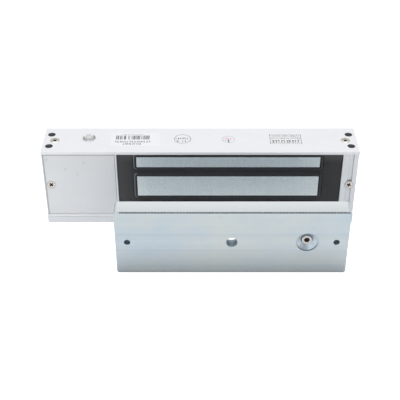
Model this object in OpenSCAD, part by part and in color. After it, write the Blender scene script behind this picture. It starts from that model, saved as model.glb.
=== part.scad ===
// Electromagnetic door lock with its armature plate. Millimetres, +Z up.
// The lock stands on the face that screws to the door frame. The origin is the middle of that face.
// The armature plate stands on the same level in front of the magnet, on the -Y side.

/* [Lock body] */
// Length of the lock
lock_l = 266; // [250:1:320]
// Depth of the lock, from the magnet face to the back wall
lock_d = 39.6; // [37:0.2:50]
// Height of the lock with its mounting plate
lock_h = 72.6; // [71:0.2:90]
// Wall of the extruded channel
wall = 2.5; // [2:0.1:3]
// Step in the channel that the wiring cover rests on
ledge = 0.6; // [0.4:0.1:1]
// Thickness of the mounting plate
plate_t = 6.4; // [5.4:0.1:8]
// Chamfer on the long outer edges
edge_break = 0.4; // [0.2:0.1:0.8]

/* [End blocks] */
// Width of an end block along the lock
block_w = 13; // [12:0.5:16]
// How far an end block stands in from the end of the channel
block_inset = 0.5; // [0:0.1:1.5]
// Width of the screw slot in the face of an end block
slot_w = 4.2; // [3.8:0.1:5]
// Depth of the screw slot
slot_d = 1.3; // [1.2:0.1:4]

/* [Wiring cover] */
// Thickness of the cover
cover_t = 2; // [1.5:0.1:2.6]
// Gap around the cover
cover_gap = 0.3; // [0.2:0.05:0.5]
// How far the cover lies behind the edge of the channel
cover_recess = 0.25; // [0.1:0.05:0.5]
// Rib of the end block that stays in view beside the cover
end_rib = 1; // [0.6:0.1:2]

/* [Magnet] */
// Thickness of the divider between the bay and the wiring chamber
divider_t = 1.5; // [1:0.1:2.5]
// Length of the laminated core
core_l = 153.6; // [140:0.2:158]
// Resin between the coil and each end of the magnet bay
end_room = 8.5; // [6:0.5:12]
// Resin between the back of the core and the back wall
back_room = 5.1; // [3:0.1:8]
// Mean gap between the core and the channel, above and below
core_margin = 1; // [0.9:0.1:2]
// Height of a coil window between two poles
window_h = 9.4; // [8.5:0.1:9.6]
// Thickness of the yoke behind the poles
yoke_t = 10; // [8:0.5:12]
// How far the core lies towards the wiring chamber from the middle of the bay
core_shift = 1.3; // [0:0.1:2]
// How far the core lies below the middle of the bay
core_drop = 0.9; // [0:0.1:0.9]
// How far the resin lies behind the pole faces
resin_recess = 1.2; // [0.8:0.1:2]
// Width of the raised resin collar around a pole
collar_w = 2.75; // [2:0.05:3.5]
// How far a collar lies behind the pole faces
collar_recess = 0.15; // [0.05:0.05:0.4]
// Wall of the coil bobbin
bobbin_wall = 1.2; // [0.8:0.1:1.6]

/* [Fasteners] */
// Thread diameter of the countersunk screws and body bolts
screw_d = 4; // [3.5:0.1:4.4]
// Head diameter of the countersunk screws
screw_head_d = 8; // [7:0.1:8.4]
// Diameter of the tamper plugs over the body bolts
plug_d = 6.4; // [6:0.1:7]
// Distance between the two body bolts of one end
bolt_pitch = 18.6; // [17:0.1:19.6]
// Distance from the end of the lock to a body bolt
bolt_in = 6.1; // [5.6:0.1:7]
// Distance from the end of the lock to an underside screw
screw_in = 9.9; // [9.4:0.1:10.4]
// Distance from the end of the lock to a face screw
face_screw_in = 6.4; // [6:0.1:7]
// How far the row of end fasteners lies forward of the middle of the lock
row_forward = 0.8; // [0:0.1:1.2]
// Height of the face screws above the mounting face
face_screw_z = 39.8; // [30:0.1:50]

/* [Mounting plate holes] */
// Width of a fixing slot and diameter of a fixing hole
fixing_d = 5.4; // [4.5:0.1:6]
// Length of a fixing slot
fixing_slot_l = 16; // [10:0.5:18]
// Distance between the two fixing slots
slot_spacing = 156; // [140:1:160]
// Distance between the fixing holes along the lock
hole_spacing_x = 80; // [60:1:110]
// Distance between the fixing holes across the lock
hole_spacing_y = 22; // [18:0.5:24]
// Diameter of the cable bore through the grommet
cable_d = 7; // [5:0.5:8]
// Distance from the divider to the cable entry
cable_from_divider = 32.6; // [20:0.1:36]

/* [Armature plate] */
// Length of the armature plate
arm_l = 185.5; // [170:0.5:200]
// Height of the armature plate
arm_h = 60; // [54:0.5:66]
// Thickness of the armature plate
arm_t = 15; // [13.5:0.1:18]
// Radius of the plate's corners
arm_corner_r = 2; // [1:0.1:5]
// Clear distance from the magnet face to the plate
arm_gap = 52.8; // [20:0.2:80]
// How far the middle of the plate lies past the middle of the core
arm_offset = 1.7; // [-4:0.1:4]
// How far the row of holes lies above the middle of the plate
hole_row_up = 0.8; // [-3:0.1:3]
// Diameter of the centre bolt hole
bolt_hole_d = 9; // [8:0.1:11]
// Diameter of the bolt head recess in the magnet side
head_recess_d = 18; // [16:0.5:22]
// Thickness of the web that the bolt head bears on
web_t = 6.5; // [5:0.1:9]
// Distance between the two guide pin holes
pin_spacing = 166.6; // [150:0.2:172]
// Diameter of a guide pin hole
pin_d = 5; // [4:0.1:6]
// Depth of a guide pin hole
pin_depth = 8; // [6:0.5:10]

/* [Ejector] */
// Distance from the middle of the plate to the ejector
ejector_x = 60; // [50:0.5:66]
// Diameter of the drilled recess over the set screw
ejector_recess_d = 17.6; // [15:0.1:19]
// Depth of the straight part of that recess
ejector_recess_depth = 1.6; // [1:0.1:2]
// Thread diameter of the set screw and bore of the spring pocket
set_screw_d = 8; // [7:0.1:9]
// Depth of the set screw's face below the plate
set_screw_depth = 3.1; // [2.5:0.1:3.5]
// Length of the set screw
set_screw_l = 5; // [4:0.1:5.5]
// Diameter of the plunger's nose
nose_d = 4.8; // [4:0.1:5.2]
// How far the plunger stands out of the magnet side
nose_out = 1.2; // [0.8:0.1:1.5]
// Thickness of the spring's wire
spring_wire = 0.6; // [0.4:0.05:0.7]

/* [Status light] */
// Distance from the divider to the light
led_from_divider = 22.9; // [12:0.1:30]
// Place of the light back from the middle of the lock
led_y = 2.3; // [1.5:0.1:3]
// Diameter of the light
led_d = 8; // [5:0.1:9]
// Diameter of the bezel's rim
bezel_d = 11; // [10:0.1:13]

/* [Hidden] */
$fn = 48;
front = -lock_d / 2;
back = lock_d / 2;
running = 0.05;
loose = 0.1;
cut = 1;
seat_y = front + cover_recess + cover_t;
lip_lo = plate_t + wall;
lip_hi = lock_h - wall;
bay_lo = lip_lo + ledge;
bay_hi = lip_hi - ledge;
wall_y = back - wall;
block_out = lock_l / 2 - block_inset;
block_in = block_out - block_w;
row_y = -row_forward;
pole_h = (bay_hi - bay_lo - 2 * core_margin - 2 * window_h) / 4;
core_h = 4 * pole_h + 2 * window_h;
core_z = (bay_lo + bay_hi) / 2 - core_drop;
core_back = wall_y - back_room;
bay_l = core_l + 2 * window_h + 2 * end_room;
bay_x0 = block_in - bay_l;
core_x = (bay_x0 + block_in) / 2 - core_shift;
divider_x0 = bay_x0 - divider_t;
chamber_x0 = -block_in;
coil_front = front + 2.8;
coil_back = core_back - yoke_t - 0.3;
flange_t = 1;
coil_r = 6;
bolt_seat_z = 22;
bolt_head_h = 4;
bolt_end_z = 1.5;
screw_hole_depth = 11;
face_hole_depth = 7;
terminal_ways = 5;
terminal_pitch = 5.08;
grommet_flange = 1.8;
groove_d = cable_d + 4;
board_y = 8;
board_t = 1.6;
board_x0 = chamber_x0 + 2;
board_x1 = divider_x0 - 2.1;
board_z0 = bay_lo + 5.5;
board_z1 = bay_hi - 3.5;
terminal_z = board_z0 + 5;
relay_z = board_z0 + 21;
varistor_z = board_z0 + 27;
jumper_z = board_z1 - 16;
standoff_in = 4;
sensor_z = core_z + 16.4;
sensor_y = 2;
lead_y = 4;
lead_zs = [core_z - 5.6, core_z - 1.6];
cable_x = divider_x0 - cable_from_divider;
led_x = divider_x0 - led_from_divider;
led_base_z = lock_h - 6.6;
led_rim_z = lock_h + 0.8;
led_dome_h = 2;
bezel_sleeve_d = led_d + 1.2;
label_t = 0.12;
arm_face = front - arm_gap;
arm_door = arm_face - arm_t;
arm_x = core_x + arm_offset;
eject_x = arm_x + ejector_x;
arm_mid_z = arm_h / 2;
hole_row_z = arm_mid_z + hole_row_up;
nose_len = 2;
plunger_head_t = 1.2;
plunger_back = arm_face - nose_len - plunger_head_t;
set_screw_end = arm_door + set_screw_depth + set_screw_l;

// ---- shared shapes -------------------------------------------------------------------------

// A block from its lowest to its highest corner
module span(lo, hi) {
    translate(lo) cube(hi - lo);
}

// A cylinder along Y from y0 to y1
module rod_y(x, y0, y1, z, d) {
    translate([x, y0, z]) rotate([-90, 0, 0]) cylinder(d = d, h = y1 - y0);
}

// A cylinder along X from x0 to x1
module rod_x(x0, x1, y, z, d) {
    translate([x0, y, z]) rotate([0, 90, 0]) cylinder(d = d, h = x1 - x0);
}

// A rectangle with round corners, centred
module round_rect(w, h, r) {
    square([w - 2 * r, h], center = true);
    square([w, h - 2 * r], center = true);
    for (sx = [-1, 1], sy = [-1, 1])
        translate([sx * (w / 2 - r), sy * (h / 2 - r)]) circle(r);
}

// A rectangle with four chamfered corners, from one corner to the other
module chamfer_rect(lo, hi, c) {
    polygon([
        [lo.x + c, lo.y], [hi.x - c, lo.y], [hi.x, lo.y + c], [hi.x, hi.y - c],
        [hi.x - c, hi.y], [lo.x + c, hi.y], [lo.x, hi.y - c], [lo.x, lo.y + c]
    ]);
}

// Extrudes a YZ outline along the lock
module along_x(length) {
    rotate([90, 0, 90]) linear_extrude(length, center = true) children();
}

// A countersunk screw that points down from the origin, with a cross recess
module countersunk_screw(length) {
    head_h = (screw_head_d - screw_d) / 2;
    difference() {
        union() {
            translate([0, 0, -head_h])
                cylinder(d1 = screw_d - 2 * running, d2 = screw_head_d - 2 * running, h = head_h);
            translate([0, 0, -length]) cylinder(d = screw_d - 2 * running, h = length - head_h / 2);
        }
        for (a = [0, 90]) rotate(a) translate([-2.1, -0.4, -1.4]) cube([4.2, 0.8, 1.4 + cut]);
    }
}

// The hole for that screw: a countersink, then a round hole
module countersunk_hole(depth) {
    head_h = (screw_head_d - screw_d) / 2;
    translate([0, 0, -head_h]) cylinder(d1 = screw_d, d2 = screw_head_d, h = head_h);
    cylinder(d = screw_head_d, h = cut);
    translate([0, 0, -depth]) cylinder(d = screw_d + loose, h = depth);
}

// The places of the four body bolts
module at_bolts() {
    for (s = [-1, 1], t = [-1, 1])
        translate([s * (lock_l / 2 - bolt_in), row_y + t * bolt_pitch / 2, 0]) children();
}

// The underside screws of the two ends, at the top face and at the bottom wall
module at_end_screws() {
    for (s = [-1, 1]) translate([s * (lock_l / 2 - screw_in), row_y, 0]) {
        translate([0, 0, lock_h]) children();
        translate([0, 0, plate_t]) rotate([180, 0, 0]) children();
    }
}

// ---- frame of the lock ---------------------------------------------------------------------

module mounting_plate() {
    sink_d = fixing_d + 5;
    color([0.78, 0.79, 0.80])
    difference() {
        along_x(lock_l) chamfer_rect([front, 0], [back, plate_t], edge_break);
        at_bolts() translate([0, 0, -cut]) cylinder(d = screw_d + loose, h = plate_t + 2 * cut);
        for (s = [-1, 1]) translate([s * slot_spacing / 2, 0, 0]) {
            translate([0, 0, -cut]) linear_extrude(plate_t + 2 * cut)
                slot_outline(fixing_slot_l, fixing_d);
            translate([0, 0, plate_t - 3]) linear_extrude(3 + cut)
                slot_outline(fixing_slot_l + 5, sink_d);
        }
        for (s = [-1, 1], t = [-1, 1])
            translate([s * hole_spacing_x / 2, t * hole_spacing_y / 2, 0]) {
                translate([0, 0, -cut]) cylinder(d = fixing_d, h = plate_t + 2 * cut);
                translate([0, 0, plate_t - 3]) cylinder(d = sink_d, h = 3 + cut);
            }
        translate([cable_x, 0, -cut]) cylinder(d = groove_d + 2, h = plate_t + 2 * cut);
    }
}

// A slot outline, end to end along X
module slot_outline(length, width) {
    square([length - width, width], center = true);
    for (s = [-1, 1]) translate([s * (length - width) / 2, 0]) circle(d = width);
}

module housing_channel() {
    color([0.86, 0.87, 0.88])
    difference() {
        along_x(lock_l) difference() {
            chamfer_rect([front, plate_t], [back, lock_h], edge_break);
            translate([front - cut, lip_lo]) square([seat_y - front + cut, lip_hi - lip_lo]);
            translate([seat_y - cut, bay_lo]) square([wall_y - seat_y + cut, bay_hi - bay_lo]);
        }
        at_end_screws() countersunk_hole(wall + ledge + cut);
        at_bolts() {
            translate([0, 0, bay_hi - cut]) cylinder(d = plug_d + 2 * running, h = lock_h);
            translate([0, 0, plate_t - cut]) cylinder(d = screw_d + 0.4, h = wall + ledge + 2 * cut);
        }
        translate([led_x, led_y, bay_hi - cut]) cylinder(d = bezel_sleeve_d + loose, h = lock_h);
        translate([cable_x, 0, plate_t - cut]) cylinder(d = groove_d, h = wall + ledge + 2 * cut);
        for (p = board_corners())
            rod_y(p.x, wall_y - cut, back - 1.2, p.y, screw_d - 1);
    }
}

// An end block before its side's own cuts: a vertical extrusion with a screw slot in its face
module end_block(side) {
    x_mid = side * (block_in + block_out) / 2;
    slot_x = side * (lock_l / 2 - face_screw_in);
    throat_w = screw_d - 0.6;
    difference() {
        union() {
            span([x_mid - block_w / 2, front, bay_lo], [x_mid + block_w / 2, wall_y, bay_hi]);
            span([x_mid - block_w / 2, front, lip_lo + loose],
                [x_mid + block_w / 2, seat_y, lip_hi - loose]);
        }
        translate([slot_x, 0, 0]) linear_extrude(lock_h) polygon([
            [-slot_w / 2, front - cut], [slot_w / 2, front - cut], [slot_w / 2, front],
            [throat_w / 2, front + 1], [throat_w / 2, front + slot_d],
            [-throat_w / 2, front + slot_d], [-throat_w / 2, front + 1], [-slot_w / 2, front]
        ]);
        at_bolts() {
            translate([0, 0, bolt_seat_z]) cylinder(d = plug_d + 2 * running, h = lock_h);
            cylinder(d = screw_d + 0.4, h = bolt_seat_z + cut);
        }
        at_end_screws() translate([0, 0, -screw_hole_depth])
            cylinder(d = screw_d + loose, h = screw_hole_depth);
    }
}

module end_block_left() {
    color([0.80, 0.81, 0.83])
    difference() {
        end_block(-1);
        span([-block_out + end_rib, front - cut, 0], [-block_in + cut, seat_y, lock_h]);
        at_face_screw(-1) translate([0, 0, -face_hole_depth])
            cylinder(d = screw_d + loose, h = face_hole_depth);
    }
}

module end_block_right() {
    color([0.80, 0.81, 0.83])
    difference() {
        end_block(1);
        at_face_screw(1) countersunk_hole(face_hole_depth);
    }
}

// The place of a face screw, pointing into the block
module at_face_screw(side) {
    translate([side * (lock_l / 2 - face_screw_in), front, face_screw_z])
        rotate([90, 0, 0]) children();
}

module divider() {
    color([0.82, 0.83, 0.84])
    difference() {
        union() {
            span([divider_x0, front, bay_lo], [bay_x0, wall_y, bay_hi]);
            span([divider_x0, front, lip_lo + loose], [bay_x0, seat_y, lip_hi - loose]);
        }
        for (z = lead_zs) rod_x(divider_x0 - cut, bay_x0 + cut, lead_y, z, 2.6);
        rod_x(divider_x0 - cut, bay_x0 + cut, sensor_y, sensor_z, 5);
    }
}

// ---- magnet --------------------------------------------------------------------------------

// The E outline of one lamination, in Y and Z
module lamination_outline() {
    z0 = core_z - core_h / 2;
    leg_y = core_back - yoke_t;
    difference() {
        translate([front, z0]) square([core_back - front, core_h]);
        for (s = [0, 1])
            translate([front - cut, z0 + pole_h + s * (window_h + 2 * pole_h)])
                square([leg_y - front + cut, window_h]);
    }
}

module magnet_core() {
    color([0.63, 0.67, 0.69])
    translate([core_x, 0, 0]) along_x(core_l) lamination_outline();
}

// The space of the bobbin and its coil around the middle pole
module coil_outline() {
    round_rect(core_l + 2 * window_h, 2 * pole_h + 2 * window_h, coil_r);
}

// The outline of the middle pole with a gap around it
module pole_outline(gap) {
    square([core_l + 2 * gap, 2 * pole_h + 2 * gap], center = true);
}

// Extrudes an XZ outline around the middle pole from y0 to y1
module around_pole(y0, y1) {
    translate([core_x, y1, core_z]) rotate([90, 0, 0]) linear_extrude(y1 - y0) children();
}

module coil_bobbin() {
    color([0.16, 0.16, 0.17])
    difference() {
        union() {
            around_pole(coil_front, coil_back) pole_outline(0.3 + bobbin_wall);
            around_pole(coil_front, coil_front + flange_t) coil_outline();
            around_pole(coil_back - flange_t, coil_back) coil_outline();
        }
        around_pole(coil_front - cut, coil_back + cut) pole_outline(0.3);
    }
}

module coil_winding() {
    color([0.72, 0.38, 0.18])
    difference() {
        around_pole(coil_front + flange_t, coil_back - flange_t) coil_outline();
        around_pole(coil_front, coil_back) pole_outline(0.3 + bobbin_wall);
    }
}

module potting_resin() {
    face_y = front + resin_recess;
    collar_y = front + collar_recess;
    color([0.18, 0.18, 0.19])
    difference() {
        union() {
            span([bay_x0, face_y, bay_lo], [block_in, wall_y, bay_hi]);
            span([bay_x0, face_y, lip_lo], [block_in, seat_y, lip_hi]);
            intersection() {
                span([bay_x0, collar_y, lip_lo], [block_in, seat_y, lip_hi]);
                for (s = [-1, 0, 1])
                    translate([0, 0, s * (1.5 * pole_h + window_h)])
                        around_pole(collar_y, seat_y) collar_outline(s == 0 ? 2 * pole_h : pole_h);
            }
        }
        magnet_core();
        around_pole(coil_front, coil_back) coil_outline();
        for (z = lead_zs) rod_x(bay_x0 - cut, core_x, lead_y, z, 1.8);
        span([bay_x0 + 2.9, sensor_y - 2, sensor_z - 2], [bay_x0 + 5.9, sensor_y + 2, sensor_z + 2]);
        for (dz = [-1.3, 0, 1.3])
            rod_x(bay_x0 - cut, bay_x0 + 3, sensor_y, sensor_z + dz, 1.1);
    }
}

// The outline of one collar
module collar_outline(height) {
    round_rect(core_l + 2 * collar_w, height + 2 * collar_w, collar_w);
}

// A wire along X that ends in a bend to the circuit board
module board_wire(x0, x1, y, z, d) {
    bend = d + 0.3;
    rod_x(x0 + bend, x1, y, z, d);
    translate([x0 + bend, y + bend, z]) rotate([0, 0, 180])
        rotate_extrude(angle = 90) translate([bend, 0]) circle(d = d);
    rod_y(x0, y + bend, board_y, z, d);
}

module coil_leads() {
    coil_end = core_x - core_l / 2 - window_h;
    color([0.75, 0.10, 0.08])
    for (z = lead_zs) board_wire(board_x1 - 2, coil_end, lead_y, z, 1.6);
}

module bond_sensor() {
    color([0.12, 0.12, 0.13])
    span([bay_x0 + 3, sensor_y - 1.9, sensor_z - 1.9], [bay_x0 + 5.8, sensor_y + 1.9, sensor_z + 1.9]);
}

module sensor_wires() {
    color([0.85, 0.75, 0.15])
    for (dz = [-1.3, 0, 1.3])
        board_wire(board_x1 - 1.5, bay_x0 + 3, sensor_y, sensor_z + dz, 0.9);
}

// ---- wiring chamber ------------------------------------------------------------------------

// The X and Z of the four board screws
function board_corners() = [
    for (x = [board_x0 + standoff_in, board_x1 - standoff_in])
        for (z = [board_z0 + standoff_in, board_z1 - standoff_in]) [x, z]
];

module circuit_board() {
    color([0.06, 0.33, 0.20])
    difference() {
        span([board_x0, board_y, board_z0], [board_x1, board_y + board_t, board_z1]);
        for (p = board_corners()) rod_y(p.x, board_y - cut, board_y + board_t + cut, p.y, 3.2);
    }
}

module board_standoffs() {
    color([0.80, 0.70, 0.40])
    for (p = board_corners()) difference() {
        translate([p.x, wall_y, p.y]) rotate([90, 0, 0])
            cylinder(d = 6.2, h = wall_y - board_y - board_t, $fn = 6);
        rod_y(p.x, board_y + board_t - cut, wall_y + cut, p.y, screw_d - 1);
    }
}

module board_screws() {
    color([0.75, 0.75, 0.74])
    for (p = board_corners()) {
        rod_y(p.x, board_y - 1.8, board_y, p.y, 5.4);
        rod_y(p.x, board_y - 0.5, board_y + board_t + 4, p.y, screw_d - 1.1);
    }
}

// The X of each clamp of the terminal block
function terminal_xs() = [
    for (i = [0 : terminal_ways - 1]) board_x0 + 9 + (i + 0.5) * terminal_pitch
];

module terminal_block() {
    x0 = terminal_xs()[0] - terminal_pitch / 2;
    x1 = x0 + terminal_ways * terminal_pitch;
    color([0.10, 0.42, 0.22])
    difference() {
        span([x0, board_y - 10, terminal_z], [x1, board_y, terminal_z + 8]);
        for (x = terminal_xs()) {
            rod_y(x, board_y - 10 - cut, board_y - 6, terminal_z + 5.2, 3.8);
            span([x - 1.6, board_y - 6, terminal_z - cut], [x + 1.6, board_y - 2.4, terminal_z + 2.5]);
        }
    }
}

module terminal_screws() {
    color([0.78, 0.78, 0.76])
    for (x = terminal_xs()) difference() {
        rod_y(x, board_y - 8.8, board_y - 6, terminal_z + 5.2, 3.6);
        span([x - 2, board_y - 9, terminal_z + 4.9], [x + 2, board_y - 8.1, terminal_z + 5.5]);
    }
}

module relay() {
    color([0.10, 0.20, 0.45])
    span([board_x0 + 2.5, board_y - 11.5, relay_z], [board_x0 + 18, board_y, relay_z + 10.5]);
}

module varistor() {
    x = board_x0 + 27;
    color([0.15, 0.35, 0.65]) {
        rod_x(x - 1.7, x + 1.7, board_y - 6, varistor_z, 9);
        for (dz = [-2.5, 2.5]) rod_y(x, board_y - 2.5, board_y, varistor_z + dz, 0.8);
    }
}

module voltage_jumpers() {
    pin = 2.54;
    x0 = board_x0 + 31;
    color([0.10, 0.10, 0.11]) {
        span([x0, board_y - 2.5, jumper_z], [x0 + 2 * pin, board_y, jumper_z + 3 * pin]);
        for (i = [0, 1])
            span([x0 + i * pin + 0.2, board_y - 8.5, jumper_z + 0.3],
                [x0 + (i + 1) * pin - 0.2, board_y - 2.5, jumper_z + 2 * pin - 0.3]);
    }
}

module wire_grommet() {
    floor_z = bay_lo;
    color([0.13, 0.13, 0.13])
    translate([cable_x, 0, 0]) difference() {
        union() {
            translate([0, 0, plate_t - grommet_flange]) cylinder(d = groove_d + 1.6, h = grommet_flange);
            translate([0, 0, plate_t - 0.1])
                cylinder(d = groove_d - 2 * running, h = floor_z - plate_t + 0.2);
            translate([0, 0, floor_z]) cylinder(d = groove_d + 3, h = grommet_flange);
        }
        translate([0, 0, plate_t - grommet_flange - cut]) cylinder(d = cable_d, h = lock_h / 3);
    }
}

// ---- status light --------------------------------------------------------------------------

module status_led() {
    dome_r = (pow(led_d / 2, 2) + pow(led_dome_h, 2)) / (2 * led_dome_h);
    color([0.92, 0.93, 0.93, 0.8])
    translate([led_x, led_y, 0]) {
        translate([0, 0, led_base_z]) cylinder(d = led_d, h = led_rim_z - led_base_z);
        intersection() {
            translate([0, 0, led_rim_z + led_dome_h - dome_r]) sphere(dome_r);
            translate([0, 0, led_rim_z - 0.01]) cylinder(d = led_d, h = led_dome_h + cut);
        }
    }
}

module led_legs() {
    drop = 2.4;
    color([0.80, 0.80, 0.80])
    for (dx = [-1.27, 1.27]) translate([led_x + dx, 0, 0]) {
        translate([0, led_y, led_base_z - drop]) cylinder(d = 0.6, h = drop);
        rod_y(0, led_y, board_y, led_base_z - drop, 0.6);
    }
}

module led_bezel() {
    color([0.85, 0.85, 0.86])
    translate([led_x, led_y, 0]) difference() {
        union() {
            translate([0, 0, led_base_z + 0.5]) cylinder(d = bezel_sleeve_d, h = lock_h - led_base_z);
            translate([0, 0, lock_h]) cylinder(d1 = bezel_d, d2 = bezel_d - 1, h = led_rim_z - lock_h);
        }
        cylinder(d = led_d + 2 * running, h = lock_h * 2);
    }
}

// ---- fasteners and labels ------------------------------------------------------------------

module body_bolts() {
    color([0.20, 0.20, 0.21])
    at_bolts() difference() {
        union() {
            translate([0, 0, bolt_seat_z]) cylinder(d = plug_d - 0.4, h = bolt_head_h);
            translate([0, 0, bolt_end_z])
                cylinder(d = screw_d - 2 * running, h = bolt_seat_z - bolt_end_z + 0.5);
        }
        translate([0, 0, bolt_seat_z + bolt_head_h - 2.2]) cylinder(d = 3.46, h = 3, $fn = 6);
    }
}

module tamper_plugs() {
    color([0.22, 0.22, 0.23])
    at_bolts() translate([0, 0, lock_h - 5.2]) cylinder(d = plug_d, h = 5);
}

module housing_screws() {
    color([0.80, 0.78, 0.75])
    at_end_screws() countersunk_screw(10);
}

module end_screw_right() {
    color([0.80, 0.78, 0.75])
    at_face_screw(1) rotate(25) countersunk_screw(6);
}

module cover_screw() {
    color([0.80, 0.78, 0.75])
    translate([0, cover_recess, 0]) at_face_screw(-1) rotate(45) countersunk_screw(6);
}

module wiring_cover() {
    color([0.82, 0.83, 0.85])
    difference() {
        span([-block_out + end_rib + cover_gap / 2, front + cover_recess, lip_lo + cover_gap],
            [divider_x0 - cover_gap, seat_y, lip_hi - cover_gap]);
        translate([0, cover_recess, 0]) at_face_screw(-1) countersunk_hole(cover_t + cut);
    }
}

// A flat label on the underside face, from corner to corner
module label(lo, hi) {
    span([lo.x, lo.y, lock_h], [hi.x, hi.y, lock_h + label_t]);
}

module barcode_label() {
    color([0.97, 0.97, 0.97]) label([divider_x0 - 4.2, -9.8], [divider_x0 + 37, 11.4]);
}

module inspection_sticker() {
    color([0.95, 0.95, 0.95]) translate([core_x - core_l / 4, 1.2, lock_h]) cylinder(d = 15.4, h = label_t);
}

module seal_sticker() {
    color([0.93, 0.93, 0.94]) translate([core_x + 0.5, 0.5, lock_h]) cylinder(d = 12.6, h = label_t);
}

module rating_label() {
    color([0.95, 0.95, 0.95]) label([core_x + 35.5, -7], [core_x + 62.5, 9.7]);
}

// ---- armature ------------------------------------------------------------------------------

module armature_plate() {
    cone_h = (ejector_recess_d - set_screw_d) / 2 / tan(59);
    color([0.74, 0.79, 0.83])
    difference() {
        translate([arm_x, arm_face, arm_mid_z]) rotate([90, 0, 0])
            linear_extrude(arm_t) round_rect(arm_l, arm_h, arm_corner_r);
        rod_y(arm_x, arm_door - cut, arm_face + cut, hole_row_z, bolt_hole_d);
        rod_y(arm_x, arm_door + web_t, arm_face + cut, hole_row_z, head_recess_d);
        for (s = [-1, 1])
            rod_y(arm_x + s * pin_spacing / 2, arm_door - cut, arm_door + pin_depth, hole_row_z, pin_d);
        rod_y(eject_x, arm_door - cut, arm_door + ejector_recess_depth, hole_row_z, ejector_recess_d);
        translate([eject_x, arm_door + ejector_recess_depth, hole_row_z]) rotate([-90, 0, 0])
            cylinder(d1 = ejector_recess_d, d2 = set_screw_d, h = cone_h);
        rod_y(eject_x, arm_door, arm_face - nose_len, hole_row_z, set_screw_d);
        rod_y(eject_x, arm_door, arm_face + cut, hole_row_z, nose_d + 2 * running);
    }
}

module ejector_plunger() {
    color([0.70, 0.70, 0.68])
    union() {
        rod_y(eject_x, plunger_back, arm_face - nose_len, hole_row_z, set_screw_d - 1);
        rod_y(eject_x, plunger_back + 0.2, arm_face + nose_out, hole_row_z, nose_d);
    }
}

module ejector_set_screw() {
    color([0.78, 0.74, 0.70])
    difference() {
        rod_y(eject_x, arm_door + set_screw_depth, set_screw_end, hole_row_z, set_screw_d - 2 * running);
        translate([eject_x, arm_door + set_screw_depth + 2.8, hole_row_z]) rotate([90, 0, 0])
            cylinder(d = 4.6, h = 4, $fn = 6);
    }
}

// A round wire wound into a helix that rises along +Z from the origin
module helix(mean_r, wire_d, turns, height) {
    per_turn = 16;
    sides = 8;
    steps = turns * per_turn;
    points = [
        for (i = [0 : steps], j = [0 : sides - 1])
            let (r = mean_r + wire_d / 2 * cos(j * 360 / sides), a = i * 360 / per_turn)
            [r * cos(a), r * sin(a), height * i / steps + wire_d / 2 * sin(j * 360 / sides)]
    ];
    sides_faces = [
        for (i = [0 : steps - 1], j = [0 : sides - 1], half = [0, 1])
            let (k = (j + 1) % sides, a = i * sides, b = a + sides)
            half == 0 ? [a + j, a + k, b + k] : [a + j, b + k, b + j]
    ];
    start_cap = [for (j = [1 : sides - 2]) [0, j + 1, j]];
    end_cap = [for (j = [1 : sides - 2]) [steps * sides, steps * sides + j, steps * sides + j + 1]];
    polyhedron(points, concat(sides_faces, start_cap, end_cap));
}

module ejector_spring() {
    length = plunger_back - set_screw_end - spring_wire;
    color([0.75, 0.75, 0.74])
    translate([eject_x, set_screw_end + spring_wire / 2, hole_row_z]) rotate([-90, 0, 0])
        helix(set_screw_d / 2 - 0.9, spring_wire, 3, length);
}

// ---- nodes ---------------------------------------------------------------------------------

mounting_plate();
housing_channel();
end_block_left();
end_block_right();
divider();
magnet_core();
coil_bobbin();
coil_winding();
potting_resin();
coil_leads();
circuit_board();
board_standoffs();
board_screws();
terminal_block();
terminal_screws();
relay();
varistor();
voltage_jumpers();
bond_sensor();
sensor_wires();
status_led();
led_legs();
led_bezel();
wire_grommet();
body_bolts();
tamper_plugs();
housing_screws();
end_screw_right();
barcode_label();
inspection_sticker();
seal_sticker();
rating_label();
wiring_cover();
cover_screw();
armature_plate();
ejector_plunger();
ejector_spring();
ejector_set_screw();
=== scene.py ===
import math

import bmesh
import bpy
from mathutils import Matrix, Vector


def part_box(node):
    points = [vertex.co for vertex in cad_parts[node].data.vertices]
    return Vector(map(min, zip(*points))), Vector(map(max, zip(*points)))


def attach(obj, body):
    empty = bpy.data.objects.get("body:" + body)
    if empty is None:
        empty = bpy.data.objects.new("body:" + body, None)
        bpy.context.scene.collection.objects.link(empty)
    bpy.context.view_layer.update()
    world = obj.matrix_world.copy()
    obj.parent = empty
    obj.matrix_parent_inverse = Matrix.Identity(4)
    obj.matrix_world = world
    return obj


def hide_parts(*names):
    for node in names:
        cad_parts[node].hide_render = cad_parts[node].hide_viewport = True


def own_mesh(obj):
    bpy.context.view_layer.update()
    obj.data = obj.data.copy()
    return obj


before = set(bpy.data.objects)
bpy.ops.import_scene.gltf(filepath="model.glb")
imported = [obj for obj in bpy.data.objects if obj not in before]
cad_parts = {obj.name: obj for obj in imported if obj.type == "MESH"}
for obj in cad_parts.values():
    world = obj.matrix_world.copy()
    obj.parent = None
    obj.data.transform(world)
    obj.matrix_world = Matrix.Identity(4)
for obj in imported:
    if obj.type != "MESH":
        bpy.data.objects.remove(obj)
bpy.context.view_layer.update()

scene = bpy.context.scene
MM = 0.001

# ---- studio -----------------------------------------------------------------------------------
# A white sheet on a softly lit table in a pale, even room. A wide softbox hangs overhead, and one
# stands behind and one to the left. The camera looks down at the magnet face from the front.


def node(tree, kind, inputs=(), **settings):
    """Adds one node, with its settings and with each input's value or link."""
    made = tree.nodes.new(kind)
    for name, value in settings.items():
        setattr(made, name, value)
    for name, value in dict(inputs).items():
        if isinstance(value, bpy.types.NodeSocket):
            tree.links.new(value, made.inputs[name])
        else:
            made.inputs[name].default_value = value
    return made


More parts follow.
